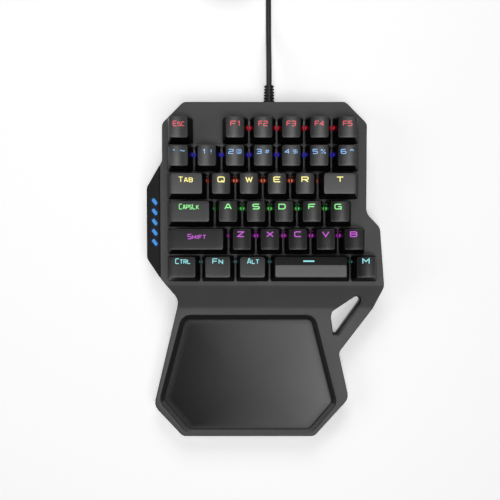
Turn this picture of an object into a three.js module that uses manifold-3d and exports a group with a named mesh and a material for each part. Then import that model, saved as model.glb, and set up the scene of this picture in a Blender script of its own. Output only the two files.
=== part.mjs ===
// A one-handed keypad: thirty-six sprung keys on a tilted panel, a palm rest with an inset pad,
// a lit flank on the left, and a lead that leaves the back and lies in a tied coil.
// Millimetres. +X is to the user's right, +Y to the back, +Z up, and the feet stand on z = 0.
import * as THREE from "three";
import { mergeVertices } from "three/addons/utils/BufferGeometryUtils.js";
import Module from "manifold-3d";

const wasm = await Module();
wasm.setup();

// Key field
const keyPitch = 19.05; // centre to centre of two one-unit keys
const rowUnits = {
  1: [["esc", 1], [null, 1], ["f1", 1], ["f2", 1], ["f3", 1], ["f4", 1], ["f5", 1]],
  2: [["grave", 1], ["1", 1], ["2", 1], ["3", 1], ["4", 1], ["5", 1], ["6", 1]],
  3: [["tab", 1.5], ["q", 1], ["w", 1], ["e", 1], ["r", 1], ["t", 1.5]],
  4: [["caps", 1.75], ["a", 1], ["s", 1], ["d", 1], ["f", 1], ["g", 1]],
  5: [["shift", 2.25], ["z", 1], ["x", 1], ["c", 1], ["v", 1], ["b", 1]],
  6: [["ctrl", 1.25], ["fn", 1.25], ["alt", 1.25], ["space", 2.95], ["macro", 1]],
}; // each key's name and its width in units, from the left; null leaves a gap
const rowCount = 6;
const upperUnits = 7; // width of the three back rows
const frontUnits = 7.7; // width of the front row

// Keycaps
const capGap = 1.4; // between two neighbouring skirts
const capHeights = [9.9, 9.5, 8.9, 8.6, 8.9, 9.0]; // skirt to the middle of the top, back row first
const capTiltDegrees = [7, 6, 4, 1, -4, -4]; // how far each row's tops lean towards the user
const capSideDraft = 2.6; // how far each side face leans in
const capFrontDraft = 3.55;
const capBackDraft = 0.2;
const capDish = 0.85; // how far the middle of a top lies below its left and right edges
const capWideDish = 0.2; // the same on a cap wider than one unit
const capCornerRadius = 1.6;
const capWall = 1.5;
const skirtHeight = 5.2; // of the skirt above the panel, with the key up
const keyTravel = 4;
const stemWidth = 6.4;
const stemDepth = 5;
const stemReach = 0.8; // how far the stem's foot lies below the panel's surface, with the key up

// Case
const wingReach = 12.7; // how far the lit flank stands out from the left side
const leftMargin = 3.8; // case edge to key cells, upper left
const rightMargin = 6.1; // case edge to key cells, upper right
const frontRightMargin = 5.8; // case edge to key cells, lower right
const rearMargin = 11.4;
const frontMargin = 2.2; // front row to the bend in front of it
const slopeRun = 17.1; // the slope between panel and palm rest
const restLength = 91.9;
const restWidth = 139.6;
const rearChamfer = 15;
const panelFrontHeight = 24;
const restRearHeight = 17.5;
const restFrontHeight = 15.5;
const panelTiltDegrees = 2.5;
const bendRadius = 9;
const wall = 2.2;
const skin = 2;
const seamHeight = 9.5; // the joint between the two covers
const clearance = 0.3; // between pieces that lie on each other
const cutOverrun = 30; // how far a cutter runs past what it cuts
const cutMargin = 2; // the same for a cutter that other pieces are close to
const mergeDistance = 1e-4; // between points that are one
const cornerSteps = 3;

// Outline places
const wingTopDrop = 41.5; // back edge to where the flank starts
const wingShoulder = 17;
const wingLength = 51;
const shoulderDrop = 77.5; // back edge to where the right side steps out
const shoulderRun = 10;
const shoulderInset = 3.3; // of the stepped-out side from the widest point
const strutInset = 6.9; // of the slot's strut from the widest point
const widestDrop = 1.7; // bend line to the widest point
const softCorner = 5;
const wideCorner = 8;

// Palm rest outline as shares of half its width and of its length, from its back edge
const restCentreOffset = -9.2;
const waistLeftShares = [-0.741, 0.068];
const restLeftShares = [-1, -0.761];
const frontLeftShares = [-0.706, -1];
const frontRightShares = [0.646, -1];
const restRightShares = [1, -0.704];
const waistRightShares = [0.895, -0.346];

// Palm pad
const padInsetLeft = 7.6; // rest outline to pad
const padInsetRight = 12.2;
const padInsetRear = 8.3;
const padInsetFront = 5.4;
const padTopLeftShare = -0.673; // the pad's back corners, as shares of half the rest's width
const padTopRightShare = 0.609;
const padLeftFallShare = 0.715; // how far down the rest the pad's widest points lie
const padRightFallShare = 0.735;
const padBottomLeftShare = -0.64;
const padBottomRightShare = 0.592;
const padCorner = 4;
const padThickness = 1.7;
const padBevel = 0.5;
const recessDepth = 2.5;
const recessBand = 3.2; // width of the sloped wall round the pad
const padGap = 0.4;

// Slot beside the palm rest
const slotTopDrop = 8.2; // bend line to the slot's back edge
const slotTopInset = 10.9; // widest point to the slot's right corner
const slotWidth = 26.1;
const slotLength = 28.4;
const slotLip = 1; // how much smaller the slot is in the lower cover
const slotWall = 1.8;
const slotCorner = 1.4;
const slotBrowCorner = 2.4;
const slotTipCorner = 3.2;
const slotWideCorner = 4.5;
// The slot's corners from its right one, as shares of its width and length, anticlockwise
const slotTipShares = [0, 0];
const slotBackShares = [-0.342, 0];
const slotBrowShares = [-0.963, -0.4];
const slotLeftShares = [-1, -0.557];
const slotFootLeftShares = [-0.935, -1];
const slotFootRightShares = [-0.789, -1];

// Lit flank
const flankInset = 1.5; // case edge to the top of the flank's slope
const flankFootHeight = 11.5; // of the slope's outer edge, level with the bend
const trimThickness = 1.6;
const guideThickness = 1.2;
const guideMargin = 1.4; // of the strip round its bars
const barCount = 5;
const barPitch = 7.2;
const barLength = 4.95;
const barWidth = 2.3;
const barCorner = 0.6;
const barSlantDegrees = 40.5; // of a bar's length from straight back, to the left
const barClearance = 0.2;
const barProud = 0.15;
const barInset = 6.05; // case edge to the middle of the bars
const firstBarDrop = 69.1; // back edge to the middle of the first bar

// Switches, plate and circuit board
const switchSize = 13.4; // of the housing below the plate
const switchHoleGap = 0.3;
const flangeSize = 15.2;
const flangeThickness = 1;
const flangeHoleGap = 0.4;
const housingTopSize = 10.6;
const housingRise = 4.2; // of the housing above the panel
const housingDepth = 5.3; // of the housing below its flange
const housingFloor = 0.8;
const flangeStep = 0.03; // height in which the housing widens to its flange
const stemGap = 0.3;
const webWidth = 3;
const webThickness = 0.9;
const webRise = 0.9; // of the web above the housings' feet
const webSink = 0.9; // of the web's ends into the housings
const plateThickness = 1.5;
const plateMargin = 2.1; // of plate and board round the switches
const boardThickness = 1.6;

// Lower cover, its posts and the feet
const footProud = 2;
const footLength = 20;
const footWidth = 9;
const footSeat = 0.6;
const footCorner = 2.5;
const floorThickness = 2.2;
const lowerInset = 0.8; // of the lower cover from the upper one
const postRadius = 3.4;
const pilotRadius = 1.2;
const pilotSides = 6;
const screwHeadRadius = 2.7;
const screwHeadSink = 3.2;
const frontScrewInset = 30; // front edge to the front pair of screws
const rearScrewShares = [-0.667, 0.5]; // of half the rest's width, for the pair behind the pad
const frontScrewShares = [-0.667, 0.667];
const frontFootShares = [-0.5, 0.5];
const roundSteps = 12;

// Strain relief, lead, coil and plug
const leadOffset = 3.4; // of the lead from the middle of the case
const leadHeight = 16;
const leadRadius = 2;
const leadSides = 8;
const leadSteps = 28;
const bootLength = 12.3;
const bootRadius = 3.5;
const bootGroove = 0.7;
const bootTipRadius = 2.7;
const bootRibs = 6;
const ribShares = [0.15, 0.6]; // where a rib's top starts and ends in its pitch
const grooveShares = [0.7, 0.98]; // the same for the groove behind it
const bootFlange = 1.6;
const bootFlangeRadius = 5.2;
const coilMeanRadius = 24;
const coilPitch = 4.55; // turn to turn, sideways and upwards
const coilLayers = 4;
const turnsInLayer = 2.3125; // from the outside in, or from the inside out
const climbTurns = 0.5; // in which the cord climbs a layer, where the spiral reverses
const coilSides = 6;
const coilSteps = 24; // in one turn
const coilStartY = 239;
const tailRun = 42; // coil to plug
const tailSteps = 8;
const tieThickness = 0.6;
const tieWidth = 9;
const tieGap = 0.5;
const tieRest = 0.1; // between the strap and the coil on it
const plugLength = 27;
const plugWidth = 15.5;
const plugHeight = 8;
const plugCorner = 2.2;
const shellLength = 12.5;
const shellWidth = 12;
const shellHeight = 4.5;
const shellWall = 0.35;
const tongueThickness = 1.9;
const tongueGap = 0.35;
const tongueReach = 9;

// Everything below is worked out from the sizes above.
const caseWidth = wingReach + leftMargin + frontUnits * keyPitch + frontRightMargin;
const fieldDepth = rowCount * keyPitch;
const caseLength = rearMargin + fieldDepth + frontMargin + slopeRun + restLength;
const rightX = caseWidth / 2;
const leftX = -caseWidth / 2 + wingReach;
const rearY = caseLength / 2;
const frontY = -caseLength / 2;
const fieldLeftX = leftX + leftMargin;
const upperRightX = fieldLeftX + upperUnits * keyPitch + rightMargin;
const bendY = rearY - rearMargin - fieldDepth - frontMargin;
const restRearY = bendY - slopeRun;
const panelTilt = THREE.MathUtils.degToRad(panelTiltDegrees);
const restTilt = Math.atan((restRearHeight - restFrontHeight) / restLength);

const place = (x, y, corner) => ({ x, y, corner });
const restPlace = ([across, along], corner) =>
  place(restCentreOffset + (across * restWidth) / 2, restRearY + along * restLength, corner);

// The case seen from above, anticlockwise from the front right
const caseOutline = [
  restPlace(frontRightShares, softCorner),
  restPlace(restRightShares, wideCorner),
  restPlace(waistRightShares, softCorner),
  place(rightX - strutInset, restRearY, wideCorner),
  place(rightX, bendY - widestDrop, softCorner),
  place(rightX - shoulderInset, rearY - shoulderDrop - shoulderRun, wideCorner),
  place(upperRightX, rearY - shoulderDrop, wideCorner),
  place(upperRightX, rearY - rearChamfer, softCorner),
  place(upperRightX - rearChamfer, rearY, softCorner),
  place(leftX + rearChamfer, rearY, softCorner),
  place(leftX, rearY - rearChamfer, softCorner),
  place(leftX, rearY - wingTopDrop, softCorner),
  place(leftX - wingReach, rearY - wingTopDrop - wingShoulder, softCorner),
  place(leftX - wingReach, rearY - wingTopDrop - wingShoulder - wingLength, softCorner),
  restPlace(waistLeftShares, wideCorner),
  restPlace(restLeftShares, wideCorner),
  restPlace(frontLeftShares, softCorner),
];

const slotPlace = ([across, along], corner) =>
  place(
    rightX - slotTopInset + across * slotWidth,
    bendY - slotTopDrop + along * slotLength,
    corner,
  );
const slotOutline = [
  slotPlace(slotTipShares, slotTipCorner),
  slotPlace(slotBackShares, slotBrowCorner),
  slotPlace(slotBrowShares, slotBrowCorner),
  slotPlace(slotLeftShares, slotWideCorner),
  slotPlace(slotFootLeftShares, slotCorner),
  slotPlace(slotFootRightShares, slotCorner),
];

// A rectangle's corners about its middle.
const rectangle = (x, y, width, depth, corner = 0) => [
  place(x - width / 2, y - depth / 2, corner),
  place(x + width / 2, y - depth / 2, corner),
  place(x + width / 2, y + depth / 2, corner),
  place(x - width / 2, y + depth / 2, corner),
];

// Moves every side of an outline inwards by a distance, or outwards by a negative one.
function inset(outline, distance) {
  return outline.map((here, i) => {
    const before = outline.at(i - 1);
    const after = outline[(i + 1) % outline.length];
    const into = new THREE.Vector2(here.x - before.x, here.y - before.y).normalize();
    const out = new THREE.Vector2(after.x - here.x, after.y - here.y).normalize();
    const share = distance / (1 + into.dot(out));
    const convex = into.cross(out) > 0;
    return place(
      here.x - (into.y + out.y) * share,
      here.y + (into.x + out.x) * share,
      Math.max(here.corner + (convex ? -distance : distance), 0),
    );
  });
}

// The points of an outline, with each corner as an arc.
function points(outline, steps = cornerSteps) {
  return outline.flatMap((here, i) => {
    const before = outline.at(i - 1);
    const after = outline[(i + 1) % outline.length];
    const into = new THREE.Vector2(here.x - before.x, here.y - before.y).normalize();
    const out = new THREE.Vector2(after.x - here.x, after.y - here.y).normalize();
    const turn = Math.atan2(into.cross(out), into.dot(out));
    const corner = new THREE.Vector2(here.x, here.y);
    if (here.corner === 0) return [corner];
    const radius = here.corner * Math.sign(turn);
    const start = corner.clone().addScaledVector(into, -here.corner * Math.tan(Math.abs(turn) / 2));
    const centre = start.clone().add(new THREE.Vector2(-into.y, into.x).multiplyScalar(radius));
    return Array.from({ length: steps + 1 }, (_, k) =>
      start.clone().rotateAround(centre, (turn * k) / steps),
    );
  });
}

// Solids
function solidOf(geometry) {
  const bare = geometry.index ? geometry.toNonIndexed() : geometry.clone();
  const shape = new THREE.BufferGeometry();
  shape.setAttribute("position", bare.getAttribute("position"));
  const merged = mergeVertices(shape, mergeDistance);
  return new wasm.Manifold(
    new wasm.Mesh({
      numProp: 3,
      vertProperties: merged.attributes.position.array,
      triVerts: new Uint32Array(merged.index.array),
    }),
  );
}

function geometryOf(solid) {
  const mesh = solid.getMesh();
  const geometry = new THREE.BufferGeometry();
  geometry.setAttribute("position", new THREE.BufferAttribute(mesh.vertProperties, 3));
  geometry.setIndex(new THREE.BufferAttribute(mesh.triVerts, 1));
  geometry.computeVertexNormals();
  return geometry;
}

// An upright prism on an outline given as points.
function prism(outlinePoints, low, high, frame) {
  const geometry = new THREE.ExtrudeGeometry(new THREE.Shape(outlinePoints), {
    depth: high - low,
    bevelEnabled: false,
  });
  geometry.translate(0, 0, low);
  if (frame) geometry.applyMatrix4(frame);
  return solidOf(geometry);
}

function box(x, y, low, width, depth, height, frame) {
  const geometry = new THREE.BoxGeometry(width, depth, height);
  geometry.translate(x, y, low + height / 2);
  if (frame) geometry.applyMatrix4(frame);
  return solidOf(geometry);
}

// An upright round post.
function post(x, y, low, high, radius, steps = roundSteps) {
  const geometry = new THREE.CylinderGeometry(radius, radius, high - low, steps);
  geometry.rotateX(Math.PI / 2);
  geometry.translate(x, y, (low + high) / 2);
  return solidOf(geometry);
}

// A closed skin over rings of points, each ring with as many points as the first.
function skinOver(rings) {
  const count = rings[0].length;
  const position = rings.flat().flatMap((p) => [p.x, p.y, p.z]);
  const index = [];
  rings.slice(1).forEach((_, r) => {
    for (let i = 0; i < count; i++) {
      const a = r * count + i;
      const b = r * count + ((i + 1) % count);
      index.push(a, b, b + count, a, b + count, a + count);
    }
  });
  const last = (rings.length - 1) * count;
  const flat = (ring) => {
    const middle = ring.reduce((sum, p) => sum.add(p), new THREE.Vector3()).divideScalar(count);
    const along = ring[0].clone().sub(middle).normalize();
    const normal = new THREE.Vector3();
    ring.forEach((p, i) => {
      const next = ring[(i + 1) % count];
      normal.add(p.clone().sub(middle).cross(next.clone().sub(middle)));
    });
    const across = normal.normalize().cross(along);
    return ring.map((p) => new THREE.Vector2(p.dot(along), p.dot(across)));
  };
  for (const [a, b, c] of THREE.ShapeUtils.triangulateShape(flat(rings[0]), []))
    index.push(a, c, b);
  for (const [a, b, c] of THREE.ShapeUtils.triangulateShape(flat(rings.at(-1)), []))
    index.push(last + a, last + b, last + c);
  const geometry = new THREE.BufferGeometry();
  geometry.setAttribute("position", new THREE.Float32BufferAttribute(position, 3));
  geometry.setIndex(index);
  return geometry;
}

const atHeight = (outlinePoints, z) => outlinePoints.map((p) => new THREE.Vector3(p.x, p.y, z));

// A profile in Y and Z, drawn out along X past both sides of the case.
function acrossCase(profile) {
  const geometry = new THREE.ExtrudeGeometry(new THREE.Shape(points(profile)), {
    depth: caseWidth + 2 * cutOverrun,
    bevelEnabled: false,
  });
  geometry.applyMatrix4(new THREE.Matrix4().set(0, 0, 1, 0, 1, 0, 0, 0, 0, 1, 0, 0, 0, 0, 0, 1));
  geometry.translate(-caseWidth / 2 - cutOverrun, 0, 0);
  return solidOf(geometry);
}

// The panel's own frame: x across, y up the panel from the bend, z square to it
const panelFrame = new THREE.Matrix4()
  .makeRotationX(panelTilt)
  .setPosition(0, bendY, panelFrontHeight);
// The palm rest's own frame: x across, y from its back edge, z square to it
const restFrame = new THREE.Matrix4()
  .makeRotationX(restTilt)
  .setPosition(0, restRearY, restRearHeight);

const rearRise = (rearMargin + fieldDepth + frontMargin + cutOverrun) * Math.tan(panelTilt);
const frontFall = cutOverrun * Math.tan(restTilt);
// Everything under the top surface of the case, in Y and Z
const underSurface = [
  place(frontY - cutOverrun, -cutOverrun, 0),
  place(rearY + cutOverrun, -cutOverrun, 0),
  place(rearY + cutOverrun, panelFrontHeight + rearRise, 0),
  place(bendY, panelFrontHeight, bendRadius),
  place(restRearY, restRearHeight, bendRadius),
  place(frontY - cutOverrun, restFrontHeight - frontFall, 0),
];

// Keys, each with its place on the panel
const keys = Object.entries(rowUnits).flatMap(([row, cells]) => {
  let left = fieldLeftX;
  return cells.flatMap(([name, units]) => {
    const x = left + (units * keyPitch) / 2;
    left += units * keyPitch;
    const y = frontMargin + (rowCount - row + 0.5) * keyPitch;
    return name ? [{ name, row: Number(row), units, x, y }] : [];
  });
});

// Half the depth of a rounded rectangle at a distance x from its middle
function halfDepthAt(x, halfWidth, halfDepth, corner) {
  const past = Math.abs(x) - (halfWidth - corner);
  if (past <= 0) return halfDepth;
  return halfDepth - corner + Math.sqrt(Math.max(corner ** 2 - past ** 2, 0));
}

// A keycap with its stem, from its skirt up, the key's own middle at x = y = 0.
function keycap({ row, units }) {
  const width = units * keyPitch - capGap;
  const depth = keyPitch - capGap;
  const topWidth = width - 2 * capSideDraft;
  const topDepth = depth - capFrontDraft - capBackDraft;
  const topMiddleY = (capFrontDraft - capBackDraft) / 2;
  const height = capHeights[row - 1];
  const lean = Math.tan(THREE.MathUtils.degToRad(capTiltDegrees[row - 1]));
  const dish = units > 1 ? capWideDish : capDish;
  const topAt = (x, y) => height + lean * (y - topMiddleY) + dish * (2 * x / topWidth) ** 2;
  const stationShares = [-1, -0.96, -0.82, -0.45, 0, 0.45, 0.82, 0.96, 1];
  const ring = (halfWidth, halfDepth, middleY, heightAt) => {
    const edge = (side) =>
      stationShares.map((share) => {
        const x = share * halfWidth;
        const y = middleY + side * halfDepthAt(x, halfWidth, halfDepth, capCornerRadius);
        return new THREE.Vector3(x, y, heightAt(x, y));
      });
    return [...edge(-1), ...edge(1).reverse()];
  };
  const skirt = ring(width / 2, depth / 2, 0, () => 0);
  const top = ring(topWidth / 2, topDepth / 2, topMiddleY, topAt);
  const count = skirt.length;
  const stations = stationShares.length;
  const position = [...skirt, ...top].flatMap((p) => [p.x, p.y, p.z]);
  const index = [];
  for (let i = 0; i < count; i++) {
    const next = (i + 1) % count;
    index.push(i, next, next + count, i, next + count, i + count);
  }
  for (let i = 0; i < stations - 1; i++) {
    const opposite = count - 1 - i;
    index.push(i + 1, i, opposite, i + 1, opposite, opposite - 1);
    const front = i + count;
    const back = opposite + count;
    index.push(front, front + 1, back, front + 1, back - 1, back);
  }
  const outer = new THREE.BufferGeometry();
  outer.setAttribute("position", new THREE.Float32BufferAttribute(position, 3));
  outer.setIndex(index);

  const ceiling = height - capWall - Math.abs(lean) * (topDepth / 2);
  const room = (y, w, d, z) => atHeight(points(rectangle(0, y, w, d)), z);
  const hollow = skinOver([
    room(0, width - 2 * capWall, depth - 2 * capWall, -capWall),
    room(topMiddleY, topWidth - 2 * capWall, topDepth - 2 * capWall, ceiling),
  ]);
  const footZ = -skirtHeight - stemReach;
  const stem = box(0, 0, footZ, stemWidth, stemDepth, ceiling + capWall / 2 - footZ);
  return geometryOf(solidOf(outer).subtract(solidOf(hollow)).add(stem));
}

// Switch housings
const flangeBase = -skin;
const plateTop = flangeBase - clearance;
const housingFoot = flangeBase - housingDepth - plateThickness;
const boardTop = housingFoot - clearance;

function housing({ x, y }) {
  const square = (size, z) => atHeight(points(rectangle(x, y, size, size)), z);
  const body = skinOver([
    square(switchSize, housingFoot),
    square(switchSize, flangeBase),
    square(flangeSize, flangeBase + flangeStep),
    square(flangeSize, flangeBase + flangeThickness),
    square(switchSize, flangeBase + flangeThickness + flangeStep),
    square(housingTopSize, housingRise),
  ]);
  const bore = box(
    x, y, housingFoot + housingFloor,
    stemWidth + 2 * stemGap, stemDepth + 2 * stemGap, housingRise - housingFoot,
  );
  return solidOf(body).subtract(bore);
}

// One row of housings, tied together by a thin web under the plate.
function switchRow(row) {
  const inRow = keys.filter((key) => key.row === row);
  const webLow = housingFoot + webRise;
  const webs = inRow.slice(1).map((key, i) => {
    const from = inRow[i].x + switchSize / 2 - webSink;
    const to = key.x - switchSize / 2 + webSink;
    return box((from + to) / 2, key.y, webLow, to - from, webWidth, webThickness);
  });
  return geometryOf([...inRow.map(housing), ...webs].reduce((all, one) => all.add(one)));
}

const fieldPlates = (low, thickness) => {
  const inner = points(inset(caseOutline, wall + clearance + slotLip));
  const front = frontMargin + keyPitch / 2 - switchSize / 2 - plateMargin;
  const back = frontMargin + (rowCount - 0.5) * keyPitch + switchSize / 2 + plateMargin;
  const left = fieldLeftX + keyPitch / 2 - switchSize / 2 - plateMargin;
  const slab = box(
    left + caseWidth / 2, (front + back) / 2, low, caseWidth, back - front, thickness, panelFrame,
  );
  return prism(inner, 0, panelFrontHeight + cutOverrun).intersect(slab);
};

function switchPlate() {
  const hole = switchSize + 2 * switchHoleGap;
  const low = plateTop - plateThickness;
  return keys.reduce(
    (plate, key) =>
      plate.subtract(box(key.x, key.y, low - cutMargin, hole, hole, plateThickness + 2 * cutMargin, panelFrame)),
    fieldPlates(low, plateThickness),
  );
}

// The flank's slope, in the panel's frame: a slab between two depths under its surface.
const flankTopX = leftX - flankInset;
const flankRun = wingReach - flankInset;
const flankDrop = panelFrontHeight - flankFootHeight;
function flankSlab(near, far) {
  const along = new THREE.Vector2(-flankRun, -flankDrop).normalize();
  const up = new THREE.Vector2(along.y, -along.x);
  const corner = (depth, reach) =>
    new THREE.Vector2(flankTopX, 0).addScaledVector(up, -depth).addScaledVector(along, reach);
  const section = [
    corner(far, -cutOverrun), corner(near, -cutOverrun), corner(near, 2 * cutOverrun),
    corner(far, 2 * cutOverrun),
  ];
  const start = rearY - wingTopDrop + wingShoulder;
  const end = restRearY + slopeRun / 2;
  const geometry = new THREE.ExtrudeGeometry(new THREE.Shape(section), {
    depth: start - end,
    bevelEnabled: false,
  });
  geometry.applyMatrix4(new THREE.Matrix4().set(1, 0, 0, 0, 0, 0, -1, 0, 0, 1, 0, 0, 0, 0, 0, 1));
  geometry.translate(0, start - bendY, 0);
  geometry.applyMatrix4(panelFrame);
  return solidOf(geometry);
}

const flankSide = (margin) =>
  box(
    flankTopX - margin - cutOverrun, 0, -cutOverrun,
    2 * cutOverrun, caseLength, panelFrontHeight + 3 * cutOverrun,
  );

const barX = leftX - barInset;
const barY = (i) => rearY - firstBarDrop - i * barPitch;

// A light bar seen from above.
const barSlant = THREE.MathUtils.degToRad(barSlantDegrees);
function barOutline(i, grow) {
  const centre = new THREE.Vector2(barX, barY(i));
  const upright = rectangle(
    barX, barY(i), barWidth + 2 * grow, barLength + 2 * grow, barCorner + grow,
  );
  return points(upright).map(({ x, y }) => new THREE.Vector2(x, y).rotateAround(centre, barSlant));
}

function guideStrip(grow) {
  const reach = (along, across) =>
    (along * Math.cos(barSlant) + across * Math.sin(barSlant)) / 2 + guideMargin + grow;
  const halfWidth = reach(barWidth, barLength);
  const halfHeight = reach(barLength, barWidth);
  const top = barY(0) + halfHeight;
  const bottom = barY(barCount - 1) - halfHeight;
  return [
    new THREE.Vector2(barX - halfWidth, bottom), new THREE.Vector2(barX + halfWidth, bottom),
    new THREE.Vector2(barX + halfWidth, top), new THREE.Vector2(barX - halfWidth, top),
  ];
}

const tall = panelFrontHeight + cutOverrun;
const bars = Array.from({ length: barCount }, (_, i) => i);

function sideTrim() {
  const plate = prism(points(caseOutline), seamHeight + clearance, tall)
    .intersect(flankSlab(0, trimThickness))
    .intersect(flankSide(clearance));
  return bars.reduce((trim, i) => trim.subtract(prism(barOutline(i, barClearance), 0, tall)), plate);
}

function lightGuide() {
  const near = trimThickness + clearance;
  const strip = prism(guideStrip(0), 0, tall).intersect(flankSlab(near, near + guideThickness));
  const bar = (i) =>
    prism(barOutline(i, 0), 0, tall).intersect(flankSlab(-barProud, near + guideThickness / 2));
  return bars.reduce((guide, i) => guide.add(bar(i)), strip);
}

// Where the two covers are screwed together
const acrossRest = (share) => restCentreOffset + (share * restWidth) / 2;
const screwPlaces = [
  [leftX + rearChamfer + postRadius, rearY - wall / 2 - postRadius],
  [upperRightX - rearChamfer - postRadius, rearY - wall / 2 - postRadius],
  ...rearScrewShares.map((share) => [acrossRest(share), restRearY + postRadius]),
  ...frontScrewShares.map((share) => [acrossRest(share), frontY + frontScrewInset]),
];

const slotCut = (shrink) => prism(points(inset(slotOutline, shrink)), -cutOverrun, tall + cutOverrun);
const slotTube = (shrink) => prism(points(inset(slotOutline, shrink - slotWall)), 0, tall);

// Palm pad and its recess, in the palm rest's frame
const padHalf = restWidth / 2;
const padOutline = [
  place(restCentreOffset + padTopLeftShare * padHalf, -padInsetRear, padCorner),
  place(restCentreOffset - padHalf + padInsetLeft, -padLeftFallShare * restLength, padCorner),
  place(restCentreOffset + padBottomLeftShare * padHalf, -restLength + padInsetFront, padCorner),
  place(restCentreOffset + padBottomRightShare * padHalf, -restLength + padInsetFront, padCorner),
  place(restCentreOffset + padHalf - padInsetRight, -padRightFallShare * restLength, padCorner),
  place(restCentreOffset + padTopRightShare * padHalf, -padInsetRear, padCorner),
];

function padRecess() {
  const rise = recessDepth + cutMargin;
  const low = points(inset(padOutline, -padGap));
  const high = points(inset(padOutline, -padGap - (recessBand * rise) / recessDepth));
  const geometry = skinOver([atHeight(low, -recessDepth), atHeight(high, rise - recessDepth)]);
  geometry.applyMatrix4(restFrame);
  return solidOf(geometry);
}

function palmPad() {
  const base = -recessDepth + clearance;
  const top = base + padThickness;
  const edge = points(padOutline);
  return skinOver([
    atHeight(edge, base),
    atHeight(edge, top - padBevel),
    atHeight(points(inset(padOutline, padBevel)), top),
  ]);
}

// Upper cover
function upperCover() {
  const outer = prism(points(caseOutline), seamHeight, tall).intersect(acrossCase(underSurface));
  const wellWall = prism(
    points(inset(padOutline, -padGap - recessBand - skin)),
    -recessDepth - skin, tall, restFrame,
  );
  const cavity = prism(points(inset(caseOutline, wall)), -cutOverrun, tall)
    .intersect(acrossCase(inset(underSurface, skin)))
    .subtract(flankSlab(-tall, trimThickness + guideThickness + 3 * clearance + skin))
    .subtract(slotTube(0))
    .subtract(wellWall);
  const flankCut = flankSlab(-tall, trimThickness + clearance).intersect(flankSide(0));
  const guidePocket = prism(guideStrip(clearance), 0, tall)
    .intersect(flankSlab(-tall, trimThickness + guideThickness + 2 * clearance));
  const hole = flangeSize + 2 * flangeHoleGap;
  const exit = new THREE.CylinderGeometry(
    bootRadius + clearance, bootRadius + clearance, 2 * (wall + cutMargin), roundSteps,
  );
  exit.translate(leadOffset, rearY, leadHeight);
  let cover = outer.subtract(cavity);
  for (const [x, y] of screwPlaces) {
    cover = cover.add(post(x, y, seamHeight, tall, postRadius).intersect(acrossCase(inset(underSurface, skin / 2))));
  }
  for (const [x, y] of screwPlaces) {
    cover = cover.subtract(post(x, y, -cutOverrun, seamHeight + skin, pilotRadius, pilotSides));
  }
  for (const key of keys) {
    cover = cover.subtract(box(key.x, key.y, -skin - cutMargin, hole, hole, skin + 2 * cutMargin, panelFrame));
  }
  return cover
    .subtract(flankCut)
    .subtract(guidePocket)
    .subtract(slotCut(0))
    .subtract(padRecess())
    .subtract(solidOf(exit));
}

// Lower cover, with its screw posts, and the feet under it
const footPlaces = [
  [leftX + rearChamfer + footLength / 2, rearY - rearChamfer],
  [upperRightX - rearChamfer - footLength / 2, rearY - rearChamfer],
  ...frontFootShares.map((share) => [acrossRest(share), frontY + rearChamfer]),
];

const footOutline = ([x, y], grow) =>
  points(rectangle(x, y, footLength + 2 * grow, footWidth + 2 * grow, footCorner));

function lowerCover() {
  const rim = seamHeight - clearance;
  const insideFloor = footProud + floorThickness;
  const shell = prism(points(inset(caseOutline, lowerInset)), footProud, rim);
  const hollow = prism(points(inset(caseOutline, lowerInset + wall)), insideFloor, tall)
    .subtract(slotTube(slotLip));
  let cover = shell.subtract(hollow);
  for (const [x, y] of screwPlaces) cover = cover.add(post(x, y, footProud, rim, postRadius));
  for (const [x, y] of screwPlaces) {
    cover = cover
      .subtract(post(x, y, -cutOverrun, footProud + screwHeadSink, screwHeadRadius))
      .subtract(post(x, y, 0, tall, pilotRadius + clearance, pilotSides));
  }
  for (const at of footPlaces) {
    cover = cover.subtract(prism(footOutline(at, clearance), -cutOverrun, footProud + footSeat));
  }
  return cover.subtract(slotCut(slotLip));
}

// Strain relief, turned about the lead's axis, with its grooves
function strainRelief() {
  const inside = rearY - wall - clearance;
  const profile = [
    [0, inside - bootFlange], [bootFlangeRadius, inside - bootFlange], [bootFlangeRadius, inside],
    [bootRadius, inside],
  ];
  const ribPitch = bootLength / bootRibs;
  for (let rib = 0; rib < bootRibs; rib++) {
    const y = rearY + rib * ribPitch;
    const radius = THREE.MathUtils.lerp(bootRadius, bootTipRadius, rib / (bootRibs - 1));
    profile.push(
      ...ribShares.map((share) => [radius, y + ribPitch * share]),
      ...grooveShares.map((share) => [radius - bootGroove, y + ribPitch * share]),
    );
  }
  profile.push([0, rearY + bootLength]);
  const geometry = new THREE.LatheGeometry(profile.map(([r, y]) => new THREE.Vector2(r, y)), roundSteps);
  geometry.translate(leadOffset, 0, leadHeight);
  return geometry;
}

// A tube along a chain of points that never runs straight up, with a flat side below.
function tube(chain, radius, sides) {
  const up = new THREE.Vector3(0, 0, 1);
  const rings = chain.map((p, i) => {
    const ahead = chain[Math.min(i + 1, chain.length - 1)];
    const behind = chain[Math.max(i - 1, 0)];
    const along = ahead.clone().sub(behind).normalize();
    const side = along.clone().cross(up).normalize();
    const over = side.clone().cross(along);
    return Array.from({ length: sides }, (_, k) => {
      const turn = (2 * Math.PI * (k + 0.5)) / sides - Math.PI / 2;
      return p.clone()
        .addScaledVector(side, -radius * Math.cos(turn))
        .addScaledVector(over, radius * Math.sin(turn));
    });
  });
  return skinOver(rings);
}

const coilHalfSpread = (coilPitch * turnsInLayer) / 2;
const coilOuterRadius = coilMeanRadius + coilHalfSpread;
const coilMiddle = new THREE.Vector2(leadOffset - coilOuterRadius, coilStartY);
const coilLow = tieThickness + tieRest + leadRadius;
const coilHigh = coilLow + (coilLayers - 1) * coilPitch;
const plugX = coilMiddle.x - tailRun;
const plugY = coilMiddle.y + coilOuterRadius;

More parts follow.
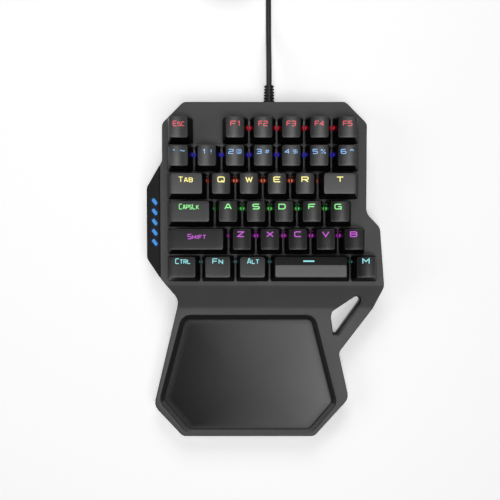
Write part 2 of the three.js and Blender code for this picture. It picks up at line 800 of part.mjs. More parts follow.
// The lead: straight out of the strain relief, down to the desk and back to the coil
const tipY = rearY + bootLength + clearance;
const leadRoute = [
  [leadOffset, tipY, leadHeight],
  [leadOffset, 137, 15.9],
  [leadOffset, 143, 15.3],
  [leadOffset, 149, 13.9],
  [leadOffset, 155, 11.7],
  [leadOffset, 161, 9.0],
  [leadOffset, 167, 6.4],
  [leadOffset, 173, 4.3],
  [leadOffset, 179, 2.9],
  [leadOffset, 187, 2.1],
  [leadOffset, 200, 2.1],
  [leadOffset, 213, 2.1],
  [leadOffset, 226, 2.3],
  [leadOffset, coilStartY - clearance, coilLow],
];

function lead() {
  const curve = new THREE.CatmullRomCurve3(leadRoute.map((p) => new THREE.Vector3(...p)));
  return tube(curve.getSpacedPoints(leadSteps), leadRadius, leadSides);
}

// The coil's line: in and out again layer by layer from the bottom, then off to the plug.
function coilRoute() {
  const turns = coilLayers * turnsInLayer;
  const steps = Math.round(turns * coilSteps);
  const chain = [];
  for (let i = 0; i <= steps; i++) {
    const turn = (turns * i) / steps;
    const layer = Math.min(Math.floor(turn / turnsInLayer), coilLayers - 1);
    const along = turn - layer * turnsInLayer;
    const inward = layer % 2 ? turnsInLayer - along : along;
    let climbed = 0;
    for (let reversal = 1; reversal < coilLayers; reversal++) {
      const middle = reversal * turnsInLayer;
      climbed += THREE.MathUtils.smoothstep(turn, middle - climbTurns / 2, middle + climbTurns / 2);
    }
    const radius = coilOuterRadius - coilPitch * inward;
    const angle = 2 * Math.PI * turn;
    chain.push(new THREE.Vector3(
      coilMiddle.x + radius * Math.cos(angle),
      coilMiddle.y + radius * Math.sin(angle),
      coilLow + coilPitch * climbed,
    ));
  }
  for (let i = 1; i <= tailSteps; i++) {
    const share = i / tailSteps;
    const fall = THREE.MathUtils.smoothstep(share, 0, 1 - 1 / tailSteps);
    chain.push(new THREE.Vector3(
      coilMiddle.x - (tailRun - clearance) * share,
      plugY,
      THREE.MathUtils.lerp(coilHigh, plugHeight / 2, fall),
    ));
  }
  return chain;
}

// The least gap between one stretch of a tube and the stretches more than half a turn away
function leastGap(chain) {
  let least = Infinity;
  for (let i = 0; i < chain.length; i++)
    for (let j = i + coilSteps / 2; j < chain.length; j++)
      least = Math.min(least, chain[i].distanceTo(chain[j]) - 2 * leadRadius);
  return least;
}

// A flat strap round all the turns at the coil's far side from the lead
function coilTie() {
  const near = coilMeanRadius - coilHalfSpread - leadRadius - tieGap;
  const far = coilOuterRadius + leadRadius + tieGap;
  const high = coilHigh + leadRadius + tieGap;
  const middle = coilMiddle.x - (near + far) / 2;
  const loop = (grow) =>
    points(
      rectangle(
        middle, (high + tieThickness) / 2,
        far - near + 2 * grow, high - tieThickness + 2 * grow, leadRadius + grow,
      ),
    );
  const shape = new THREE.Shape(loop(tieThickness));
  shape.holes.push(new THREE.Path(loop(0)));
  const geometry = new THREE.ExtrudeGeometry(shape, { depth: tieWidth, bevelEnabled: false });
  geometry.rotateX(Math.PI / 2);
  geometry.translate(0, coilMiddle.y + tieWidth / 2, 0);
  return geometry;
}

// Plug: a grip with a metal shell and the tongue inside it, lying flat
const plugSection = (width, height, corner) =>
  points(rectangle(0, plugHeight / 2, width, height, corner));

// Draws a section in Y and Z out along -X, from a place on the plug's axis.
function alongPlug(section, start, length) {
  const geometry = new THREE.ExtrudeGeometry(section, { depth: length, bevelEnabled: false });
  geometry.applyMatrix4(new THREE.Matrix4().set(0, 0, -1, 0, -1, 0, 0, 0, 0, 1, 0, 0, 0, 0, 0, 1));
  geometry.translate(start, plugY, 0);
  return geometry;
}

function plugGrip() {
  return alongPlug(new THREE.Shape(plugSection(plugWidth, plugHeight, plugCorner)), plugX, plugLength);
}

const shellStart = plugX - plugLength;

function plugShell() {
  const outside = new THREE.Shape(plugSection(shellWidth, shellHeight, 2 * shellWall));
  outside.holes.push(
    new THREE.Path(plugSection(shellWidth - 2 * shellWall, shellHeight - 2 * shellWall, shellWall)),
  );
  return alongPlug(outside, shellStart, shellLength);
}

function plugTongue() {
  const width = shellWidth - 2 * shellWall - 2 * tongueGap;
  const middle = (plugHeight - shellHeight + tongueThickness) / 2 + shellWall + tongueGap;
  const section = points(rectangle(0, middle, width, tongueThickness));
  return alongPlug(new THREE.Shape(section), shellStart, tongueReach);
}

// Finishes
const finish = (color, roughness, metalness = 0) =>
  new THREE.MeshStandardMaterial({ color, roughness, metalness });
const casePlastic = finish(0x484848, 0.6);
const lowerPlastic = finish(0x1f1f20, 0.65);
const capPlastic = finish(0x3a3a3b, 0.4);
const padPlastic = finish(0x454546, 0.35);
const trimPlastic = finish(0x1c1c1e, 0.25);
const blueLight = finish(0x2f97dd, 0.3);
const switchPlastic = finish(0x2a2a2c, 0.4);
const steel = finish(0x5a5c5e, 0.5, 0.8);
const board = finish(0x143a24, 0.5);
const rubber = finish(0x151515, 0.8);
const leadPlastic = finish(0x1a1a1a, 0.55);
const strap = finish(0x111111, 0.9);
const shellSteel = finish(0xc2c4c6, 0.3, 1);
const tonguePlastic = finish(0xe6e6e4, 0.5);

const keypad = new THREE.Group();

function add(name, geometry, material, parent = keypad) {
  const mesh = new THREE.Mesh(geometry, material);
  mesh.name = name;
  parent.add(mesh);
  return mesh;
}

add("top_cover", geometryOf(upperCover()), casePlastic);
add("bottom_cover", geometryOf(lowerCover()), lowerPlastic);
add("switch_plate", geometryOf(switchPlate()), steel);
add("circuit_board", geometryOf(fieldPlates(boardTop - boardThickness, boardThickness)), board);
add("side_trim", geometryOf(sideTrim()), trimPlastic);
add("side_light_guide", geometryOf(lightGuide()), blueLight);

const panel = new THREE.Group();
panel.applyMatrix4(panelFrame);
keypad.add(panel);
for (let row = 1; row <= rowCount; row++) {
  add(`switch_row_${row}`, switchRow(row), switchPlastic, panel);
}
for (const key of keys) {
  const mesh = add(`key_${key.name}`, keycap(key), capPlastic, panel);
  mesh.position.set(key.x, key.y, skirtHeight);
}

const rest = new THREE.Group();
rest.applyMatrix4(restFrame);
keypad.add(rest);
add("palm_pad", palmPad(), padPlastic, rest);

const footNames = ["rear_left", "rear_right", "front_left", "front_right"];
footPlaces.forEach((at, i) => {
  const foot = prism(footOutline(at, 0), 0, footProud + footSeat);
  add(`foot_${footNames[i]}`, geometryOf(foot), rubber);
});

add("strain_relief", strainRelief(), rubber);
add("cable_run", lead(), leadPlastic);
const coilChain = coilRoute();
console.log(`least gap between the coil's turns: ${leastGap(coilChain).toFixed(2)} mm`);
add("cable_coil", tube(coilChain, leadRadius, coilSides), leadPlastic);
add("cable_tie", coilTie(), strap);
add("plug_grip", plugGrip(), rubber);
add("plug_shell", plugShell(), shellSteel);
add("plug_tongue", plugTongue(), tonguePlastic);

export default keypad;
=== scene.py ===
import math
from functools import partial

import bmesh
import bpy
from mathutils import Matrix, Vector


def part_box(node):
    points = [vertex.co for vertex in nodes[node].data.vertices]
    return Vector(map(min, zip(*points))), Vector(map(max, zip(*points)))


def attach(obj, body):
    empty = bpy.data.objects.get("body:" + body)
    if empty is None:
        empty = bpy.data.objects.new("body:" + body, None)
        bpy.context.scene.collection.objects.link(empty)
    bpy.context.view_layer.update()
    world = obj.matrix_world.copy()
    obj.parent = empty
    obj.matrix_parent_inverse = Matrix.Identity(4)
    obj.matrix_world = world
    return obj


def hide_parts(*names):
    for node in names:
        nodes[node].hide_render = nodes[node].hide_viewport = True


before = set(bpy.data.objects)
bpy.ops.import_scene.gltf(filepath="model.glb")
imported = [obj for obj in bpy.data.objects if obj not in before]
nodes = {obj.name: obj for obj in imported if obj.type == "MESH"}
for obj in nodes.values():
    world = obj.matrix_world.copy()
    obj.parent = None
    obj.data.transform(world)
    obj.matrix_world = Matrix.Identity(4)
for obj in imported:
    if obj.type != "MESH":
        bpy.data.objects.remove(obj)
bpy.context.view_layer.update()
scene = bpy.context.scene
print("frame loaded")

mm = 0.001  # every size below is in millimetres, as on the drawing
toMetres = Matrix.Scale(mm, 4)


# Small helpers

def linked(name, data):
    piece = bpy.data.objects.new(name, data)
    scene.collection.objects.link(piece)
    return piece


# The camera looks straight down, a little left of and behind the middle
camera = {"place": (-10.2, 15.1, 522.5), "lens": 50.93, "sensor": 36}
cameraData = bpy.data.cameras.new("camera")
cameraData.lens, cameraData.sensor_width = camera["lens"], camera["sensor"]
scene.camera = linked("camera", cameraData)
scene.camera.location = Vector(camera["place"]) * mm


def srgb(*levels):  # red, green and blue, or one level for a grey
    shares = [level / 255 for level in (levels if len(levels) == 3 else levels * 3)]
    return (*(share / 12.92 if share <= 0.04045 else ((share + 0.055) / 1.055) ** 2.4 for share in shares), 1)


def smooth(mesh, sharpAngle):
    mesh.shade_smooth()
    mesh.set_sharp_from_angle(angle=math.radians(sharpAngle))
    return mesh


def pointMesh(name, points, place=None, faces=()):
    mesh = bpy.data.meshes.new(name)
    mesh.from_pydata([tuple(p) for p in points], [], list(faces))
    if place:
        mesh.transform(place)
    mesh.transform(toMetres)
    return mesh


# A mesh from points in millimetres in a frame of their own, faces outwards, smooth but for its sharp edges
def meshFrom(name, points, faces, place=None, sharpAngle=38):
    mesh = pointMesh(name, points, place, faces)
    work = bmesh.new()
    work.from_mesh(mesh)
    bmesh.ops.recalc_face_normals(work, faces=work.faces)
    work.to_mesh(mesh)
    work.free()
    return smooth(mesh, sharpAngle)


# Applies a piece's modifiers and leaves it a plain mesh
def plainMesh(piece):
    mesh = bpy.data.meshes.new_from_object(piece.evaluated_get(bpy.context.evaluated_depsgraph_get()))
    piece.modifiers.clear()
    old = piece.data
    piece.data = mesh
    bpy.data.meshes.remove(old)
    return piece


# A piece's finishes and body, and the drawn nodes that it stands for, which are hidden
def dress(piece, body, slotName, *finishes, stands=()):
    for finish in finishes:
        piece.data.materials.append(finish)
    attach(piece, body)
    if stands:
        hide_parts(*stands)
    return piece


def setUv(mesh, name, valueOf):
    layer = mesh.uv_layers.new(name=name)
    for loop in mesh.loops:
        layer.data[loop.index].uv = valueOf(loop.vertex_index)


def setShares(mesh, name, values):
    mesh.attributes.new(name, "FLOAT", "POINT").data.foreach_set("value", values)


def mixed(a, b, share):
    return a + (b - a) * share


# Skins rings of points, each with as many points as the first, and closes both ends on their middles
def skin(rings, points=None, faces=None, closed=False):
    points = [] if points is None else points
    faces = [] if faces is None else faces
    count, start = len(rings[0]), len(points)
    for ring in rings:
        points.extend(ring)
    for r in range(len(rings) - (0 if closed else 1)):
        for i in range(count):
            j = (i + 1) % count
            a, b = start + r * count, start + ((r + 1) % len(rings)) * count
            faces.append((a + i, a + j, b + j, b + i))
    if not closed:
        for r, flip in ((0, True), (len(rings) - 1, False)):
            points.append(sum((Vector(p) for p in rings[r]), Vector()) / count)
            a, last = start + r * count, len(points) - 1
            for i in range(count):
                j = (i + 1) % count
                faces.append((a + j, a + i, last) if flip else (a + i, a + j, last))
    return points, faces


quarters = [(1, -1, -90), (1, 1, 0), (-1, 1, 90), (-1, -1, 180)]  # a corner's two signs, and where its arc starts


# Rounded outlines, all with the same number of points for the same steps; the height is a number or a rule
def roundedRing(halfWidth, halfDepth, corner, middle=(0, 0), height=0.0, cornerSteps=4, sideSteps=(3, 7)):
    arcs = []
    for sx, sy, start in quarters:
        turns = [math.radians(start + 90 * k / cornerSteps) for k in range(cornerSteps + 1)]
        cx, cy = sx * (halfWidth - corner), sy * (halfDepth - corner)
        arcs.append([(cx + corner * math.cos(turn), cy + corner * math.sin(turn)) for turn in turns])
    flat = []
    for i, arc in enumerate(arcs):
        steps = sideSteps[i % 2]
        (ax, ay), (bx, by) = arc[-1], arcs[(i + 1) % 4][0]
        flat += arc + [(mixed(ax, bx, k / steps), mixed(ay, by, k / steps)) for k in range(1, steps)]
    flat = [(x + middle[0], y + middle[1]) for x, y in flat]
    return [(x, y, height(x, y) if callable(height) else height) for x, y in flat]


# Node trees: a value is a socket to link, a node whose first output is linked, a list of these, or a plain value
def feed(tree, node, values):
    for key, value in values.items():
        for item in value if isinstance(value, list) else [value]:
            item = item.outputs[0] if isinstance(item, bpy.types.Node) else item
            if isinstance(item, bpy.types.NodeSocket):
                tree.links.new(item, node.inputs[key])
            else:
                node.inputs[key].default_value = item
    return node


def addNode(tree, kind, inputs=None, **settings):
    node = tree.nodes.new(kind)
    for name, value in settings.items():
        setattr(node, name, value)
    return feed(tree, node, inputs or {})


def mathNode(tree, operation, *values):
    return addNode(tree, "ShaderNodeMath", dict(enumerate(values)), operation=operation)


def vectorNode(tree, operation, *values):
    return addNode(tree, "ShaderNodeVectorMath", dict(enumerate(values)), operation=operation)


def xyz(tree, **parts):
    return addNode(tree, "ShaderNodeCombineXYZ", parts)


def noise(tree, vector, scale, detail, roughness=0.5):
    return addNode(tree, "ShaderNodeTexNoise", {
        "Vector": vector, "Scale": scale, "Detail": detail, "Roughness": roughness})


def ramp(tree, value, low, high, kind="SMOOTHSTEP", start=0.0, end=1.0):
    return addNode(tree, "ShaderNodeMapRange", {
        "Value": value, "From Min": low, "From Max": high, "To Min": start, "To Max": end}, interpolation_type=kind)


def blendColours(tree, share, a, b):  # 6 and 7 are the Mix node's two colours, and 2 is what it makes of them
    return addNode(tree, "ShaderNodeMix", {0: share, 6: a, 7: b}, data_type="RGBA").outputs[2]


# A tree with named inputs and outputs: each kind of socket with its labels
def newTree(treeKind, name, inputs, outputs):
    tree = bpy.data.node_groups.new(name, treeKind)
    for way, sockets in (("INPUT", inputs), ("OUTPUT", outputs)):
        for kind, labels in sockets.items():
            for label in labels.split(", "):
                tree.interface.new_socket(name=label, in_out=way, socket_type="NodeSocket" + kind)
    return tree, tree.nodes.new("NodeGroupInput").outputs, tree.nodes.new("NodeGroupOutput")


newGroup = partial(newTree, "ShaderNodeTree")
black = (0, 0, 0, 1)

# Moulded grain: a fine spark-eroded height, and a slow drift of shade and roughness
grain = {"detail": 3.0, "roughness": 0.6, "driftScale": 55.0, "driftDetail": 4.0, "driftRoughness": 0.55}


def buildGrain():
    group, inside, outside = newGroup("mouldedGrain", {
        "Vector": "Coordinates", "Color": "Colour", "Float": "Grain Size, Shade Spread, Roughness, Roughness Spread"},
        {"Color": "Colour", "Float": "Roughness, Height"})
    calc = partial(mathNode, group)
    perMetre = calc("DIVIDE", 1 / mm, inside["Grain Size"])
    fine = noise(group, inside["Coordinates"], perMetre, grain["detail"], grain["roughness"])
    slow = noise(group, inside["Coordinates"], grain["driftScale"], grain["driftDetail"], grain["driftRoughness"])
    middle = calc("SUBTRACT", slow, 0.5)
    drift = calc("ADD", middle, calc("SUBTRACT", fine, 0.5))
    tinted = vectorNode(group, "SCALE", inside["Colour"])
    feed(group, tinted, {"Scale": calc("MULTIPLY_ADD", drift, inside["Shade Spread"], 1.0)})
    rough = calc("MULTIPLY_ADD", middle, inside["Roughness Spread"], inside["Roughness"])
    feed(group, outside, {"Colour": tinted, "Roughness": rough, "Height": fine})
    return group


# Rim line: where the rim attribute is high, a paler and smoother, slightly broken line, a painted highlight broken up
# like wear
wearAndSheen = {"scale": 420.0, "detail": 2.0, "from": (0.3, 0.7), "least": 0.55, "smoother": -0.1}


def buildWearAndSheen():
    group, inside, outside = newGroup("rimWear", {
        "Vector": "Coordinates", "Color": "Colour, Worn Colour", "Float": "Roughness, Rim, Amount"},
        {"Color": "Colour", "Float": "Roughness"})
    calc = partial(mathNode, group)
    broken = noise(group, inside["Coordinates"], wearAndSheen["scale"], wearAndSheen["detail"])
    patch = ramp(group, broken, *wearAndSheen["from"], "LINEAR", wearAndSheen["least"])
    mask = calc("MULTIPLY", calc("MULTIPLY", inside["Rim"], patch), inside["Amount"])
    feed(group, outside, {
        "Colour": blendColours(group, mask, inside["Colour"], inside["Worn Colour"]),
        "Roughness": calc("MULTIPLY_ADD", mask, wearAndSheen["smoother"], inside["Roughness"])})
    return group


# A painted light spot, which the caps glow with beside the gaps: a bright middle that falls to its edge colour and then
# to nothing, with a small dot behind it
spot = {"halo": (1.25, 0.6), "core": (0.95, 0.45), "dotPlace": (1.2, 2.9, 0.0), "dot": (0.5, 0.15)}


def buildSpot():
    group, inside, outside = newGroup("lightSpot", {
        "Vector": "Offset", "Float": "Radius, Dot", "Color": "Core, Edge"}, {"Color": "Colour"})
    flat = vectorNode(group, "MULTIPLY", inside["Offset"], (1.0, 1.0, 0.0))
    far = vectorNode(group, "LENGTH", flat).outputs["Value"]
    share = mathNode(group, "DIVIDE", far, inside["Radius"])
    fromDot = vectorNode(group, "DISTANCE", flat, spot["dotPlace"]).outputs["Value"]
    dot = mathNode(group, "MULTIPLY", ramp(group, fromDot, *spot["dot"]), inside["Dot"])
    edge = blendColours(group, ramp(group, share, *spot["halo"]), black, inside["Edge"])
    lit = blendColours(group, ramp(group, share, *spot["core"]), edge, inside["Core"])
    feed(group, outside, {"Colour": blendColours(group, dot, lit, inside["Core"])})
    return group


# The glow that slanted bars, repeated along Y, cast on what holds them: painted light, as emission
def buildBarGlow():
    group, inside, outside = newGroup("barGlow", {
        "Vector": "Coordinates, Middle", "Float": "Pitch, Count, Half Length, Tilt, Reach", "Color": "Glow"},
        {"Color": "Colour"})
    calc = partial(mathNode, group)
    offset = vectorNode(group, "SUBTRACT", inside["Coordinates"], inside["Middle"])
    parts = addNode(group, "ShaderNodeSeparateXYZ", {0: offset}).outputs
    step = calc("DIVIDE", parts["Y"], inside["Pitch"])
    half = calc("MULTIPLY_ADD", inside["Count"], 0.5, -0.5)
    nearest = calc("MAXIMUM", calc("MINIMUM", calc("ROUND", step), half), calc("MULTIPLY", half, -1.0))
    x, y = parts["X"], calc("MULTIPLY", calc("SUBTRACT", step, nearest), inside["Pitch"])
    cosine, sine = calc("COSINE", inside["Tilt"]), calc("SINE", inside["Tilt"])
    along = calc("SUBTRACT", calc("MULTIPLY", y, cosine), calc("MULTIPLY", x, sine))
    across = calc("ADD", calc("MULTIPLY", x, cosine), calc("MULTIPLY", y, sine))
    past = calc("MAXIMUM", calc("SUBTRACT", calc("ABSOLUTE", along), inside["Half Length"]), 0.0)
    far = calc("SQRT", calc("ADD", calc("POWER", calc("ABSOLUTE", across), 2.0), calc("POWER", past, 2.0)))
    fade = ramp(group, calc("DIVIDE", far, inside["Reach"]), 1.0, 0.3)
    feed(group, outside, {"Colour": blendColours(group, fade, black, inside["Glow"])})
    return group


# Weave of a strap, in the piece's own UV, with painted shade in the valleys between threads
def buildWeave():
    group, inside, outside = newGroup("strapWeave", {
        "Vector": "Coordinates", "Color": "Colour, Valley Colour", "Float": "Threads"},
        {"Color": "Colour", "Float": "Height"})
    calc = partial(mathNode, group)
    parts = addNode(group, "ShaderNodeSeparateXYZ", {0: inside["Coordinates"]}).outputs
    waves = [calc("ABSOLUTE", calc("SINE", calc("MULTIPLY", parts[axis], inside["Threads"]))) for axis in "XY"]
    height = calc("MULTIPLY", *waves)
    colour = blendColours(group, height, inside["Valley Colour"], inside["Colour"])
    feed(group, outside, {"Colour": colour, "Height": height})
    return group


grainGroup, wearAndSheenGroup, spotGroup = buildGrain(), buildWearAndSheen(), buildSpot()
barGlowGroup, weaveGroup = buildBarGlow(), buildWeave()


# A finish on a Principled shader: what is the same all over sits on the shader's own sockets
def newFinish(name, **shaderValues):
    finish = bpy.data.materials.new(name)
    finish.use_nodes = True
    tree = finish.node_tree
    feed(tree, tree.nodes["Principled BSDF"], shaderValues)
    return finish, tree, addNode(tree, "ShaderNodeTexCoord").outputs["Object"]


def placeGroup(tree, group, **inputs):
    values = {label.replace("_", " "): value for label, value in inputs.items()}
    return addNode(tree, "ShaderNodeGroup", values, node_tree=group).outputs


def grained(tree, coordinates, colour, size, spread, roughness, roughSpread):
    return placeGroup(tree, grainGroup, Coordinates=coordinates, Colour=colour, Grain_Size=size,
                      Shade_Spread=spread, Roughness=roughness, Roughness_Spread=roughSpread)


# Feeds the shader what changes over the surface, and the height and depth of its bump
def feedShader(tree, values, height=None, strength=0.0, depth=0.03):
    if height is not None:
        values["Normal"] = addNode(tree, "ShaderNodeBump", {
            "Height": height, "Strength": strength, "Distance": depth * mm})
    feed(tree, tree.nodes["Principled BSDF"], values)


def attribute(tree, name):
    return addNode(tree, "ShaderNodeAttribute", attribute_name=name).outputs["Fac"]


# A moulded plastic or rubber: the shared grain on a plain Principled shader
def moulded(name, colour, roughness, grain=0.35, bump=0.25, spread=0.12, roughSpread=0.1, depth=0.04, stretch=None,
            **shaderValues):
    finish, tree, coordinates = newFinish(name, **shaderValues)
    if stretch:
        coordinates = addNode(tree, "ShaderNodeMapping", {"Vector": coordinates, "Scale": stretch})
    made = grained(tree, coordinates, colour, grain, spread, roughness, roughSpread)
    feedShader(tree, {"Base Color": made["Colour"], "Roughness": made["Roughness"]}, made["Height"], bump, depth)
    return finish


# Brushed metal: the grain drawn out into long fine streaks along one axis
def brushed(name, colour, roughness, stretch):
    return moulded(name, colour, roughness, 1.0, 0.1, 0.22, 0.18, 0.03, stretch, Metallic=1.0)


# A lamp behind plastic: one colour, a little brighter in patches
glow = {"roughness": 0.35, "unlitShare": 0.25, "grain": 0.8, "spread": 0.18, "roughSpread": 0.05}


def glowing(name, colour, strength=1.0):
    unlit = (*(glow["unlitShare"] * c for c in colour[:3]), 1)
    finish, tree, coordinates = newFinish(
        name, **{"Emission Strength": strength, "Roughness": glow["roughness"], "Base Color": unlit})
    made = grained(tree, coordinates, colour, glow["grain"], glow["spread"], glow["roughness"], glow["roughSpread"])
    feedShader(tree, {"Emission Color": made["Colour"]})
    return finish


# Geometry Nodes: a tree has named sizes, ends in real geometry with its finish, and runs on points
def newShapeTree(name, sizes, **others):
    return newTree("GeometryNodeTree", name, {"Geometry": "Geometry", "Float": sizes, **others, "Material": "Finish"},
                   {"Geometry": "Geometry"})


def finishTree(tree, inside, outside, instances):
    real = addNode(tree, "GeometryNodeRealizeInstances", {"Geometry": instances})
    coated = addNode(tree, "GeometryNodeSetMaterial", {"Geometry": real, "Material": inside["Finish"]})
    feed(tree, outside, {0: coated})
    return tree


def transformed(tree, geometry, **place):
    return addNode(tree, "GeometryNodeTransform", {"Geometry": geometry, **place})


def onPoints(tree, inside, instance, **settings):
    return addNode(tree, "GeometryNodeInstanceOnPoints", {
        "Points": inside["Geometry"], "Instance": instance, **settings})


# Runs a tree on points and hands back the plain mesh: Rib Width is the piece's own ribWidth, in millimetres
def bakeShape(name, tree, points, sizes, finish, sharpAngle=38, **others):
    source = linked(name + "Source", points)
    modifier = source.modifiers.new("shape", "NODES")
    modifier.node_group = tree
    others["finish"] = finish
    for item in tree.interface.items_tree:
        if item.in_out == "INPUT" and item.name != "Geometry":
            key = item.name[0].lower() + item.name[1:].replace(" ", "")
            modifier[item.identifier] = others[key] if key in others else sizes[key] * mm
    mesh = bpy.data.meshes.new_from_object(source.evaluated_get(bpy.context.evaluated_depsgraph_get()))
    mesh.name = name
    source.modifiers.clear()
    bpy.data.objects.remove(source)
    return linked(name, smooth(mesh, sharpAngle))


print("helpers ready")

# The lead with its coil comes first: one cord from the strain relief to the plug
cord = {
    "diameter": 4.0, "exit": (3.4, 131.05, 16.0),
    "run": [(131.05, 16), (137, 15.9), (143, 15.3), (149, 13.9), (155, 11.7), (161, 9.0), (167, 6.4), (173, 4.3),
            (179, 2.9), (187, 2.1), (200, 2.1), (213, 2.1), (226, 2.3)],
    "coilMiddle": (-25.86, 239.0), "outerRadius": 29.26, "pitch": 4.55, "layers": 4, "turnsInLayer": 2.3125,
    "climbTurns": 0.5, "low": 2.7, "stepsInTurn": 40, "tailRun": 42.0, "tailGap": 0.3, "tailSteps": 8,
}
plug = {"length": 27.0, "width": 15.5, "height": 8.0, "corner": 2.4, "slimmer": 0.7, "neck": 6.4, "bend": 2.6}
leadX, _, leadZ = cord["exit"]
coilX, coilY = cord["coilMiddle"]
coilHigh = cord["low"] + (cord["layers"] - 1) * cord["pitch"]
plugX, plugY, plugZ = coilX - cord["tailRun"], coilY + cord["outerRadius"], plug["height"] / 2


def eased(value, low, high):
    share = min(max((value - low) / (high - low), 0), 1)
    return share * share * (3 - 2 * share)


def cordRoute():
    chain = [(leadX, y, z) for y, z in cord["run"]]
    inLayer, climb = cord["turnsInLayer"], cord["climbTurns"] / 2
    turns = cord["layers"] * inLayer
    steps = round(turns * cord["stepsInTurn"])
    for i in range(steps + 1):
        turn = turns * i / steps
        layer = min(int(turn / inLayer), cord["layers"] - 1)
        along = turn - layer * inLayer
        inward = inLayer - along if layer % 2 else along
        climbed = sum(eased(turn, k * inLayer - climb, k * inLayer + climb) for k in range(1, cord["layers"]))
        radius, angle = cord["outerRadius"] - cord["pitch"] * inward, 2 * math.pi * turn
        chain.append((coilX + radius * math.cos(angle), coilY + radius * math.sin(angle),
                      cord["low"] + cord["pitch"] * climbed))
    for i in range(1, cord["tailSteps"] + 1):
        share = i / cord["tailSteps"]
        fall = eased(share, 0, 1 - 1 / cord["tailSteps"])
        chain.append((coilX - (cord["tailRun"] - cord["tailGap"]) * share, plugY, mixed(coilHigh, plugZ, fall)))
    return [Vector(point) for point in chain]


leadFinish = moulded("leadPlastic", srgb(34, 34, 35), 0.5, grain=0.5, bump=0.2)
route = cordRoute()
routeLength = sum((b - a).length for a, b in zip(route, route[1:]))
leadCurve = bpy.data.curves.new("lead", "CURVE")
leadCurve.dimensions = "3D"
leadCurve.bevel_depth = cord["diameter"] / 2 * mm
leadCurve.bevel_resolution = 3
leadCurve.use_fill_caps = True
spline = leadCurve.splines.new("POLY")
spline.points.add(len(route) - 1)
for point, at in zip(spline.points, route):
    point.co = (*(at * mm), 1)
spline.use_smooth = True
lead = dress(linked("lead", leadCurve), "case", "lead", leadFinish, stands=["cable_run", "cable_coil"])
print(f"lead ready, {routeLength:.0f} mm")


# A tree that sets one soft-edged lens on each point: lamps, glowing gap lenses that paint light between caps, grip
# ridges
def buildLensTree():
    tree, inside, outside = newShapeTree("lensField", "Width, Length, Height, Tilt")
    ball = addNode(tree, "GeometryNodeMeshUVSphere", {"Segments": 16, "Rings": 8, "Radius": 0.5})
    size = xyz(tree, X=inside["Width"], Y=inside["Length"], Z=inside["Height"])
    lenses = onPoints(tree, inside, ball, Rotation=xyz(tree, X=inside["Tilt"]), Scale=size)
    return finishTree(tree, inside, outside, lenses)


lensTree = buildLensTree()

# Strain relief: a tapered sleeve with a rib on each point and a spine above and below
boot = {
    "firstRib": 119.382, "pitch": 2.1, "ribCount": 7, "baseRadius": 3.5, "tipRadius": 3.05, "ribWidth": 1.25,
    "ribHeight": 1.1, "sleeveStart": 116.1, "sleeveLength": 17.0, "spineWidth": 1.3, "filletShare": 0.35,
    "coreBaseShare": 0.74, "coreTipShare": 0.8, "spineLengthShare": 0.96, "spineHeightShare": 1.2,
    "spineRadiusShare": 0.46, "spineMiddleShare": 0.49, "sides": 32,
}


def buildSleeveTree():
    tree, inside, outside = newShapeTree(
        "ribbedSleeve", "Base Radius, Tip Radius, Rib Width, Rib Height, Sleeve Length, Spine Width",
        Int="Rib Count", Vector="Sleeve Start")
    base, tip, length, tall = (inside[label] for label in ("Base Radius", "Tip Radius", "Sleeve Length", "Rib Height"))
    calc = partial(mathNode, tree)
    ring = addNode(tree, "GeometryNodeCurvePrimitiveCircle", {"Resolution": boot["sides"], "Radius": base})
    section = addNode(tree, "GeometryNodeCurvePrimitiveQuadrilateral", {"Width": tall, "Height": inside["Rib Width"]})
    rounded = addNode(tree, "GeometryNodeFilletCurve", {
        "Curve": section, "Radius": calc("MULTIPLY", tall, boot["filletShare"]), "Count": 3}, mode="POLY")
    rib = addNode(tree, "GeometryNodeCurveToMesh", {"Curve": ring, "Profile Curve": rounded})
    share = calc("DIVIDE", addNode(tree, "GeometryNodeInputIndex"), calc("SUBTRACT", inside["Rib Count"], 1.0))
    scale = calc("MULTIPLY_ADD", share, calc("SUBTRACT", calc("DIVIDE", tip, base), 1.0), 1.0)
    ribs = onPoints(tree, inside, rib, Rotation=(math.radians(90), 0, 0), Scale=scale)
    core = addNode(tree, "GeometryNodeMeshCone", {
        "Vertices": boot["sides"], "Depth": length, "Radius Bottom": calc("MULTIPLY", base, boot["coreBaseShare"]),
        "Radius Top": calc("MULTIPLY", tip, boot["coreTipShare"])})
    core = transformed(tree, core, Translation=inside["Sleeve Start"], Rotation=(math.radians(-90), 0, 0))
    bar = addNode(tree, "GeometryNodeMeshCube", {"Size": xyz(
        tree, X=inside["Spine Width"], Y=calc("MULTIPLY", length, boot["spineLengthShare"]),
        Z=calc("MULTIPLY", tall, boot["spineHeightShare"]))})
    slope = calc("ARCTANGENT", calc("DIVIDE", calc("SUBTRACT", base, tip), length))
    away = calc("MULTIPLY", calc("ADD", base, tip), boot["spineRadiusShare"])
    half = calc("MULTIPLY", length, boot["spineMiddleShare"])
    spines = []
    for side in (1.0, -1.0):
        offset = xyz(tree, Y=half, Z=calc("MULTIPLY", away, side))
        spines.append(transformed(tree, bar, Translation=vectorNode(tree, "ADD", offset, inside["Sleeve Start"]),
                                  Rotation=xyz(tree, X=calc("MULTIPLY", slope, -side))))
    together = addNode(tree, "GeometryNodeJoinGeometry", {0: [ribs, core, *spines]})
    return finishTree(tree, inside, outside, together)


rubberFinish = moulded("bootRubber", srgb(26, 26, 27), 0.5, grain=0.4, bump=0.15)
ribPoints = pointMesh("ribPoints", [
    (leadX, boot["firstRib"] + boot["pitch"] * i, leadZ) for i in range(boot["ribCount"])])
strainRelief = dress(bakeShape(
    "strainRelief", buildSleeveTree(), ribPoints, boot, rubberFinish, ribCount=boot["ribCount"],
    sleeveStart=(leadX * mm, boot["sleeveStart"] * mm, leadZ * mm)), "case", "rubber", stands=["strain_relief"])

